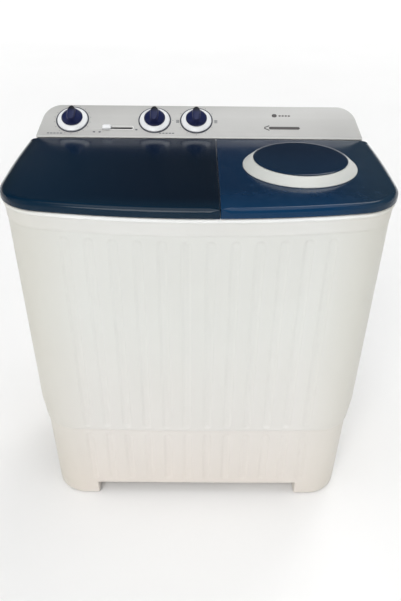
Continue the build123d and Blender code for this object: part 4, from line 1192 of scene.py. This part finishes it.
def make_console():
    """Walls, sloping panel and the selector's slot with its bezel and floor."""
    outline = console_outline()
    p, n = np.array(outline), poly_normals(outline)
    foot = np.full(len(p), DECK_TOP)
    seam = LID_TOP + (p[:, 1] - CONSOLE_FRONT) * np.tan(SLOPE) - 0.003 / cos(SLOPE)
    rows = [(0.0025, foot + 0.0001), (0.0006, foot + 0.0001), (0.0, foot + 0.0010),
            (0.0, foot + (seam - foot) * 0.5), (0.0, seam - 0.0008), (0.0005, seam - 0.0001),
            (0.0030, seam - 0.0001)]
    verts = [(x, y, z) for inset, h in rows for (x, y), z in zip(p - n * inset, h)]
    add_mesh("console_walls", verts, loop_faces(len(p), len(rows)), MATS["console"], "casing",
             ["console_housing"], "console_plastic", smooth=45)
    x0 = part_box("water_selector")[0].x + 0.005
    x1 = x0 + SLOT_LENGTH

    def slot(grow, half, r, steps):
        return rounded_rect(x0 - grow, x1 + grow, SLOT_S - half, SLOT_S + half, r, steps)

    loop = [(x, (y - CONSOLE_FRONT) / cos(SLOPE)) for x, y in outline]
    plate("console_panel", [loop, slot(0.0, 0.0025, 0.0024, 6)[::-1]], -0.0030, -0.00002, 0.0013,
          MATS["panel"], "casing", PANEL_AT, replaces=["control_panel"], slot="panel_silver",
          smooth=50)
    bezel = [slot(0.0035, 0.0065, 0.005, 8), slot(0.0012, 0.0038, 0.0034, 8)[::-1]]
    plate("slot_bezel", bezel, -0.0004, 0.0008, 0.0003, MATS["console"], "casing", PANEL_AT,
          slot="console_plastic")
    plate("slot_floor", [slot(0.004, 0.008, 0.004, 6)], -0.0145, -0.0125, 0.0004, MATS["black"],
          "casing", PANEL_AT, slot="timer_body")


KNOB_R = 0.0265
KNOB_FOOT = 0.008
SHOULDER = 0.0020
SHOULDER_TOP = KNOB_FOOT + 0.0038
GRIP_TOP = 0.0285
COLLAR = [(0.010, 0.0055), (0.0265, 0.0055), (0.0345, 0.0008), (0.0378, 0.0008), (0.0378, 0.0026),
          (0.0345, 0.0046), (0.0285, 0.0079), (0.0262, 0.0079), (0.010, 0.0076)]
OUTLINE = [(0.0384, 0.00005), (0.0384, 0.0008), (0.0388, 0.0011), (0.0409, 0.0011),
           (0.0413, 0.0008), (0.0413, 0.00005)]


def knob_mesh(steps=96):
    """A knob's cap: round at its foot, narrowing into a long grip with a rounded top."""
    unit = np.array(circle(0.0, 0.0, 1.0, steps))
    rows = [(unit * (KNOB_R - less), KNOB_FOOT + up) for less, up in (
        (0.001, 0.0), (0.0, 0.0006), (0.0, 0.0022), (0.0006, 0.0031), (SHOULDER, 0.0038))]
    for t in np.linspace(0.06, 1.0, 22):
        blend = 0.5 * (1 - cos(pi * min(t * 1.15, 1.0)))
        width, length = 0.0230 - 0.0045 * t, 0.0460 - 0.0030 * t
        across = unit[:, 0] * width / 2
        along = np.sign(unit[:, 1]) * np.abs(unit[:, 1]) ** 0.55 * length / 2
        ring = (1 - blend) * unit * (KNOB_R - SHOULDER) + blend * np.stack([across, along], 1)
        rows.append((ring, SHOULDER_TOP + (GRIP_TOP - 0.0024 - SHOULDER_TOP) * t**1.25))
    for shrink, down in ((0.93, 0.0012), (0.80, 0.0004), (0.55, 0.00005)):
        rows.append((ring * (shrink, 1 - (1 - shrink) * 0.30), GRIP_TOP - down))
    verts = [(x, y, z) for ring, z in rows for x, y in ring]
    faces = loop_faces(steps, len(rows))
    faces.append(list(range(len(verts) - steps, len(verts))))
    faces.append(list(range(steps))[::-1])
    return verts, faces


def make_knobs():
    verts, faces = knob_mesh()
    for name in DIALS:
        at = dial_matrix(name)
        add_mesh(name + "_cap", [at @ Vector(v) for v in verts], faces, MATS["knob"],
                 name + "_dial", [name + "_knob"], "knob_blue", smooth=60)
        v, f = lathe(rounded(COLLAR, 0.0014, 4), matrix=at)
        add_mesh(name + "_collar", v, f, MATS["skirt"], name + "_dial", [name + "_skirt"],
                 "knob_skirt", smooth=50)


def make_dial_rings():
    v, f = merge([lathe(OUTLINE, steps=128, matrix=dial_matrix(name)) for name in DIALS])
    add_mesh("dial_outlines", v, f, MATS["dial_line"], "casing", ["dial_rings"], "dial_line")


TICK_R = 0.0455
# each dial's number of ticks, and how many degrees they take up
TICKS = {"wash_timer": (16, 300), "drain_selector": (3, 90), "spin_timer": (11, 300)}


def dash(x, s, length, width, angle=0.0):
    """A round-ended mark printed at a place on the panel, as (vertices, faces)."""
    h, w = length / 2, width / 2
    loop = rounded_rect(-h, h, -w, w, w * 0.98, 3)
    place = PANEL_AT @ Matrix.Translation((x, s, 0)) @ Matrix.Rotation(angle, 4, "Z")
    verts = [place @ Vector((a, b, z)) for z in (0.00003, 0.00018) for a, b in loop]
    m = len(loop)
    return verts, [*loop_faces(m, 2), list(range(m, 2 * m)), list(range(m))[::-1]]


def make_print():
    """Generic marks on the panel: short dashes and dots, with no lettering."""
    marks = []
    for name, (ticks, sweep) in TICKS.items():
        at = PANEL_AT.inverted() @ dial_matrix(name).translation
        for k in range(ticks):
            a = pi / 2 - radians(sweep) * k / (ticks - 1)
            marks.append(dash(at.x + TICK_R * cos(a), at.y + TICK_R * sin(a), 0.0034, 0.0009, a))
    for x0, s in ((-0.377, 0.012), (-0.098, 0.0145)):
        marks += [dash(x0 + 0.0080 * k, s, 0.0064, 0.0028) for k in range(5)]
    for x, s in ((-0.263, 0.017), (-0.249, 0.017), (-0.158, 0.025)):
        marks.append(dash(x, s, 0.0064, 0.0044))
    for x in (-0.0550, 0.041):
        marks += [dash(x, 0.053 + d, 0.0084, 0.0020) for d in (-0.0036, 0.0, 0.0036)]
    v, f = merge(marks)
    add_mesh("panel_marks", v, f, MATS["print"], "casing", slot="dial_line")
    dark = [dash(0.1895, 0.0745, 0.0130, 0.0110)]
    dark += [dash(0.2030 + 0.0078 * k, 0.0740, 0.0062, 0.0042) for k in range(4)]
    dark += [dash(0.2130, 0.0340, 0.0780, 0.0085)]
    dark += [dash(0.1690, 0.0385, 0.0150, 0.0028, 0.45)]
    dark += [dash(0.1690, 0.0300, 0.0150, 0.0028, -0.45)]
    v, f = merge(dark)
    add_mesh("panel_stripe", v, f, MATS["print_dark"], "casing", slot="dial_line")


def make_selector():
    """Sliding tab: a rounded cap with three ribs, and a stem through the slot."""
    lo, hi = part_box("water_selector")
    x, s = (lo.x + hi.x) / 2, SLOT_S
    verts = []
    rows = [(0.0109, 0.0064, 0.0007), (0.0110, 0.0065, 0.0012), (0.0110, 0.0065, 0.0040),
            (0.0095, 0.0059, 0.0058), (0.0075, 0.0052, 0.0065)]
    for h, w, z in rows:
        loop = rounded_rect(x - h, x + h, s - w, s + w, 0.003, 5)
        verts += [(a, b, z) for a, b in loop]
    m = len(loop)
    ends = [list(range(m))[::-1], list(range(len(verts) - m, len(verts)))]
    parts = [(verts, loop_faces(m, len(rows)) + ends)]
    for rib in (x - 0.0055, x, x + 0.0055):
        parts.append(box_part((rib - 0.0008, s - 0.0045, 0.0055), (rib + 0.0008, s + 0.0045, 0.0072)))
    parts.append(box_part((x - 0.004, s - 0.002, -0.0118), (x + 0.004, s + 0.002, 0.0008)))
    v, f = merge(parts)
    obj = add_mesh("water_selector_tab", [PANEL_AT @ Vector(q) for q in v], f, MATS["skirt"],
                   "water_selector", ["water_selector"], "knob_skirt", smooth=40)
    bevel(obj, 0.0003, 2, 40)


# ---------------------------------------------------------------- tubs
def make_wash_tub():
    """Open tub with a flange, rounded floor edge, ripples on its walls and a hole for the shaft."""
    floor, top = TUB_FLOOR, FLANGE_TOP
    wall, lip, r = 0.003, 0.0022, 0.020
    inner_floor = floor + wall

    def level(z, inset):
        t = (z - floor) / (top - floor)
        return tub_loop([a + (b - a) * t for a, b in zip(TUB_BOTTOM, TUB_TOP)], inset, 16)

    bm = bmesh.new()

    def skin(rows):
        """Quads over rows of (height, inset). Gives the last row's vertices."""
        made = [bm.verts.new((x, y, z)) for z, inset in rows for x, y in level(z, inset)]
        count = len(made) // len(rows)
        for f in loop_faces(count, len(rows), flip=True):
            bm.faces.new([made[i] for i in f])
        return made[-count:]

    rows = [(top - wall, -0.006), (top - 0.0006, -0.006), (top, -0.0054), (top, wall - lip)]
    rows += [(top - lip * (1 - cos(a)), wall - lip * (1 - sin(a))) for a in quarter(4)[1:]]
    for z in np.linspace(top - 0.004, inner_floor + r, 60):
        ripple = 0.0011 * max(0.0, sin((z - 0.40) * 2 * pi / 0.020)) if 0.42 < z < 0.62 else 0.0
        rows.append((z, wall + ripple))
    rows += [(inner_floor + r * (1 - sin(a)), wall + r * (1 - cos(a))) for a in quarter()[1:]]
    inside = skin(rows)
    outside = skin([(top - wall, -0.006), (top - wall, 0.0), (floor + 0.02, 0.0),
                    (floor + 0.006, 0.002), (floor, 0.008)])
    hole = circle(*PULSATOR_AT[:2], 0.0115, 48)
    over = [bm.verts.new((x, y, inner_floor)) for x, y in hole]
    under = [bm.verts.new((x, y, floor)) for x, y in hole]
    fill_loop(bm, inside, over)
    fill_loop(bm, outside, under)
    bridge(bm, over, under)
    bmesh.ops.remove_doubles(bm, verts=bm.verts[:], dist=1e-6)
    bm_to("wash_tub_shell", bm, MATS["tub"], "casing", replaces=["wash_tub"], slot="tub_plastic",
          smooth=50)


def make_pulsator():
    """Disc with a crown in its middle and six swirled vanes."""
    x0, y0 = PULSATOR_AT[:2]
    lo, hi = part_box("pulsator")
    foot, top, radius = lo.z, hi.z, hi.x - x0
    steps, edge, thick = 240, 0.0035, 0.005
    turns = [2 * pi * k / steps for k in range(steps)]
    rings = np.concatenate([np.linspace(0.004, 0.04, 8), np.linspace(0.045, radius - 0.006, 30),
                            [radius - 0.003, radius - 0.0012, radius]])
    verts = [(x0, y0, top)]
    for r in rings:
        crown = (top - foot - thick) * 0.98 / (1 + (r / 0.052) ** 4)
        reach = np.clip((r - 0.025) / 0.03, 0, 1) * np.clip((radius - 0.008 - r) / 0.02, 0, 1)
        drop = max(r - (radius - edge), 0.0) / edge
        for a in turns:
            vane = max(0.0, cos(6 * (a + (r - 0.08) * 3.2))) ** 3
            z = foot + thick + crown + 0.017 * vane * reach * (1 - 0.35 * r / radius)
            z = min(z, top) - edge * (1 - sqrt(max(1 - drop**2, 0)))
            verts.append((x0 + r * cos(a), y0 + r * sin(a), z))
    for r, z in ((radius, foot + 0.001), (radius - 0.001, foot)):
        verts += [(x0 + r * cos(a), y0 + r * sin(a), z) for a in turns]
    faces = [[0, 1 + k, 1 + (k + 1) % steps] for k in range(steps)]
    for a, b, c, d in loop_faces(steps, len(rings) + 2):
        faces.append([1 + a, 1 + d, 1 + c, 1 + b])
    faces.append(list(range(len(verts) - steps, len(verts)))[::-1])
    add_mesh("pulsator_disc", verts, faces, MATS["pulsator"], "pulsator", ["pulsator"],
             "pulsator_blue", smooth=60)
    cap = [(0.0125, top - 0.0045), (0.0125, top - 0.0012), (0.0105, top - 0.0001), (0.0035, top),
           (0.0035, top - 0.0015), (0.0, top - 0.0015)]
    v, f = lathe(rounded(cap, 0.0006, 2), (x0, y0), 48)
    add_mesh("pulsator_screw_cap", v, f, MATS["shaft"], "pulsator", slot="steel_shaft")


NET_PITCH = 0.0032
NET_HALF = 0.0003


def make_filter():
    """Lint filter: a frame with a net of crossed threads across it."""
    lo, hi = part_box("lint_filter")
    x, y0, y1, z0, z1 = lo.x, lo.y, hi.y, lo.z, hi.z
    loop = rounded_rect(y0, y1, z0, z1, 0.009, 6)
    hole = rounded_rect(y0 + 0.009, y1 - 0.009, z0 + 0.012, z1 - 0.012, 0.006, 6)[::-1]
    turn = Matrix(((0, 0, 1, 0), (1, 0, 0, 0), (0, 1, 0, 0), (0, 0, 0, 1)))
    plate("filter_frame", [loop, hole], x, x + 0.010, 0.0015, MATS["filter"], "casing", turn,
          replaces=["lint_filter"], slot="filter_blue")
    parts = []
    for y in np.arange(y0 + 0.010, y1 - 0.008, NET_PITCH):
        parts.append(box_part((x + 0.0035, y - NET_HALF, z0 + 0.009),
                              (x + 0.0042, y + NET_HALF, z1 - 0.009)))
    for z in np.arange(z0 + 0.013, z1 - 0.010, NET_PITCH):
        parts.append(box_part((x + 0.0042, y0 + 0.006, z - NET_HALF),
                              (x + 0.0049, y1 - 0.006, z + NET_HALF)))
    v, f = merge(parts)
    add_mesh("filter_net", v, f, MATS["net"], "casing", slot="filter_blue")


# ---------------------------------------------------------------- back
COVER = 0.0016
DRAIN_Z = 0.120
LOUVRES = [(x, 0.600 + row * 0.014) for row in range(9) for x in (0.150, -0.290)]
LOUVRE_LENGTH = 0.140


def louvre_hood(x0, z):
    """Half-round hood over one slot of the cover, flatter at its ends, as (vertices, faces)."""
    x1 = x0 + LOUVRE_LENGTH
    foot, rise, height = REAR + COVER - 0.0002, 0.0030, 0.0062
    turns = quarter()
    n = len(turns)
    verts = []
    for x, k in ((x0, 0.25), (x0 + 0.004, 1.0), (x1 - 0.004, 1.0), (x1, 0.25)):
        verts += [(x, foot + rise * k * sin(a), z + height * cos(a)) for a in turns]
    starts = [i * n + j for i in range(3) for j in range(n - 1)]
    return verts, [[a, a + 1, a + n + 1, a + n] for a in starts]


def screw_head(x, z):
    """Domed head with a cross recess, on the back cover, as (vertices, faces)."""
    place = Matrix.Translation((x, REAR + COVER, z)) @ Matrix.Rotation(-pi / 2, 4, "X")
    profile = [(0.0044, 0.0), (0.0044, 0.0006), (0.0036, 0.0021), (0.0018, 0.0028), (0.0, 0.0029)]
    verts, faces = lathe(rounded(profile, 0.0006, 2), steps=32)
    out = []
    for q in map(Vector, verts):
        cross = min(abs(q.x), abs(q.y)) < 0.0005 and hypot(q.x, q.y) < 0.0026
        if cross and q.z > 0.001:
            q.z -= 0.0008
        out.append(place @ q)
    return out, faces


def make_back():
    """Service cover with louvres, ribs and screws."""
    lo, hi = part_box("back_panel")
    loop = rounded_rect(lo.x, hi.x, lo.z, hi.z, 0.006, 5)
    slots = [rounded_rect(x, x + LOUVRE_LENGTH, z, z + 0.005, 0.0023, 3)[::-1] for x, z in LOUVRES]
    turn = Matrix(((1, 0, 0, 0), (0, 0, -1, 0), (0, 1, 0, 0), (0, 0, 0, 1)))
    plate("back_cover", [loop, *slots], -(REAR + COVER), -REAR, 0.0004, MATS["back"], "casing",
          turn, replaces=["back_panel"], slot="back_panel")
    v, f = merge([louvre_hood(x, z) for x, z in LOUVRES])
    obj = add_mesh("back_louvres", v, f, MATS["back"], "casing", slot="back_panel", smooth=60)
    thicken(obj, 0.0007, 0)
    y0, y1 = REAR + COVER - 0.0004, REAR + COVER + 0.0013
    v, f = merge([box_part((-0.30, y0, z), (0.30, y1, z + 0.010)) for z in (0.33, 0.40, 0.47, 0.54)])
    bevel(add_mesh("back_ribs", v, f, MATS["back"], "casing", slot="back_panel"), 0.0011, 3, 30)
    lo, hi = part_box("back_panel_screws")
    inset = 0.004
    v, f = merge([screw_head(x, z) for x in (lo.x + inset, hi.x - inset)
                  for z in (lo.z + inset, (lo.z + hi.z) / 2, hi.z - inset)])
    add_mesh("back_screw_heads", v, f, MATS["zinc"], "casing", ["back_panel_screws"], "zinc_screw",
             smooth=35)


def make_spigots():
    """Barbed ends of the drain outlet and the water inlet."""
    for name, node, r in (("drain_barbs", "drain_outlet", 0.014),
                          ("inlet_barbs", "water_inlet", 0.0095)):
        lo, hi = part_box(node)
        z = DRAIN_Z if node == "drain_outlet" else (lo.z + hi.z) / 2
        profile = rounded([(r - 0.0001, -0.0030), (r + 0.0008, -0.0030), (r - 0.0001, 0.0014)],
                          0.0003, 2)
        parts = []
        for k in range(3):
            at = Matrix.Translation(((lo.x + hi.x) / 2, hi.y - 0.0018 - 0.0048 * k, z))
            parts.append(lathe(profile, steps=64, matrix=at @ Matrix.Rotation(-pi / 2, 4, "X")))
        v, f = merge(parts)
        add_mesh(name, v, f, MATS["hose"], "casing", slot="hose_grey")


# ---------------------------------------------------------------- stage
WALL_AT = 12.0
WALL_TOP = 4.0
COVE_R = 1.6


def make_floor():
    """White floor that curves up into a round wall."""
    profile = [(r, 0.0) for r in (0.0, 2.0, 6.0, WALL_AT - COVE_R)]
    for a in quarter()[1:]:
        profile.append((WALL_AT - COVE_R * (1 - sin(a)), COVE_R * (1 - cos(a))))
    profile += [(WALL_AT, z) for z in (2.2, 2.8, 3.4, WALL_TOP)]
    verts, faces = lathe(profile)
    data = bpy.data.meshes.new("floor")
    data.from_pydata([tuple(v) for v in verts], [], [f[::-1] for f in faces])
    data.polygons.foreach_set("use_smooth", [True] * len(data.polygons))
    floor = bpy.data.objects.new("floor", data)
    bpy.context.scene.collection.objects.link(floor)
    n = Nodes("floor_paint")
    tone = n.cloud(0.8, 2.0)
    col = n.mix(tone, (0.865, 0.865, 0.865, 1), (0.885, 0.885, 0.885, 1))
    # the wall darkens above eye level, so the glossy lids mirror a dim ceiling
    upper = n.remap(n.axis(2), 2.6, 3.9)
    col = n.mix(upper, col, (0.06, 0.062, 0.065, 1))
    low_glow = n.remap(n.axis(2), 0.2, 1.6, 0.0, 0.55)
    glow = n.math("MULTIPLY", low_glow, n.math("SUBTRACT", 1.0, upper))
    n.link(glow, n.bsdf.inputs["Emission Strength"])
    n.bsdf.inputs["Emission Color"].default_value = (1.0, 1.0, 1.0, 1.0)
    data.materials.append(n.finish(col, 0.85, spec=0.1))


def make_sun(name, bearing, height, strength, softness, colour=(1, 1, 1)):
    """A soft distant light. bearing is degrees from the front, towards the right."""
    light = bpy.data.lights.new(name, "SUN")
    light.energy = strength
    light.angle = radians(softness)
    light.color = colour
    obj = bpy.data.objects.new(name, light)
    bpy.context.scene.collection.objects.link(obj)
    a, e = radians(bearing), radians(height)
    toward = Vector((sin(a) * cos(e), -cos(a) * cos(e), sin(e)))
    obj.rotation_euler = toward.to_track_quat("Z", "Y").to_euler()


def make_lights():
    world = bpy.data.worlds.new("studio")
    bpy.context.scene.world = world
    world.use_nodes = True
    back = world.node_tree.nodes["Background"]
    back.inputs["Color"].default_value = (0.86, 0.92, 1.0, 1.0)
    back.inputs["Strength"].default_value = 0.06

    make_sun("key", -14, 42, 1.58, 32, (1.0, 0.99, 0.97))
    make_sun("fill", 62, 28, 0.40, 50, (0.96, 0.98, 1.0))
    make_sun("left", -75, 34, 0.22, 40)
    make_sun("back", 152, 52, 0.55, 24)
    make_sun("top", 15, 86, 1.20, 50)


CAMERA_AT = (-0.0027, -1.3805, 1.4012)
CAMERA_DOWN, CAMERA_RIGHT, CAMERA_ROLL = 32.79, 0.366, 0.63
LENS = 37.767055


def make_camera():
    """Camera of the photograph, placed by its angles in degrees."""
    cam = bpy.data.cameras.new("camera")
    cam.sensor_width = 36.0
    cam.lens = LENS
    obj = bpy.data.objects.new("camera", cam)
    bpy.context.scene.collection.objects.link(obj)
    down, yaw, roll = radians(CAMERA_DOWN), radians(CAMERA_RIGHT), radians(CAMERA_ROLL)
    ahead = Vector((sin(yaw) * cos(down), cos(yaw) * cos(down), -sin(down)))
    level = Vector((cos(yaw), -sin(yaw), 0))
    up = level.cross(ahead)
    right = level * cos(roll) + up * sin(roll)
    turn = Matrix((right, up * cos(roll) - level * sin(roll), -ahead)).transposed().to_4x4()
    obj.matrix_world = Matrix.Translation(CAMERA_AT) @ turn
    bpy.context.scene.camera = obj
    bpy.context.scene.view_settings.view_transform = "Standard"


make_floor()
make_lights()
make_camera()
make_cabinet()
make_base()
make_deck()
make_lids()
make_console()
make_knobs()
make_dial_rings()
make_print()
make_selector()
make_wash_tub()
make_pulsator()
make_filter()
make_back()
make_spigots()
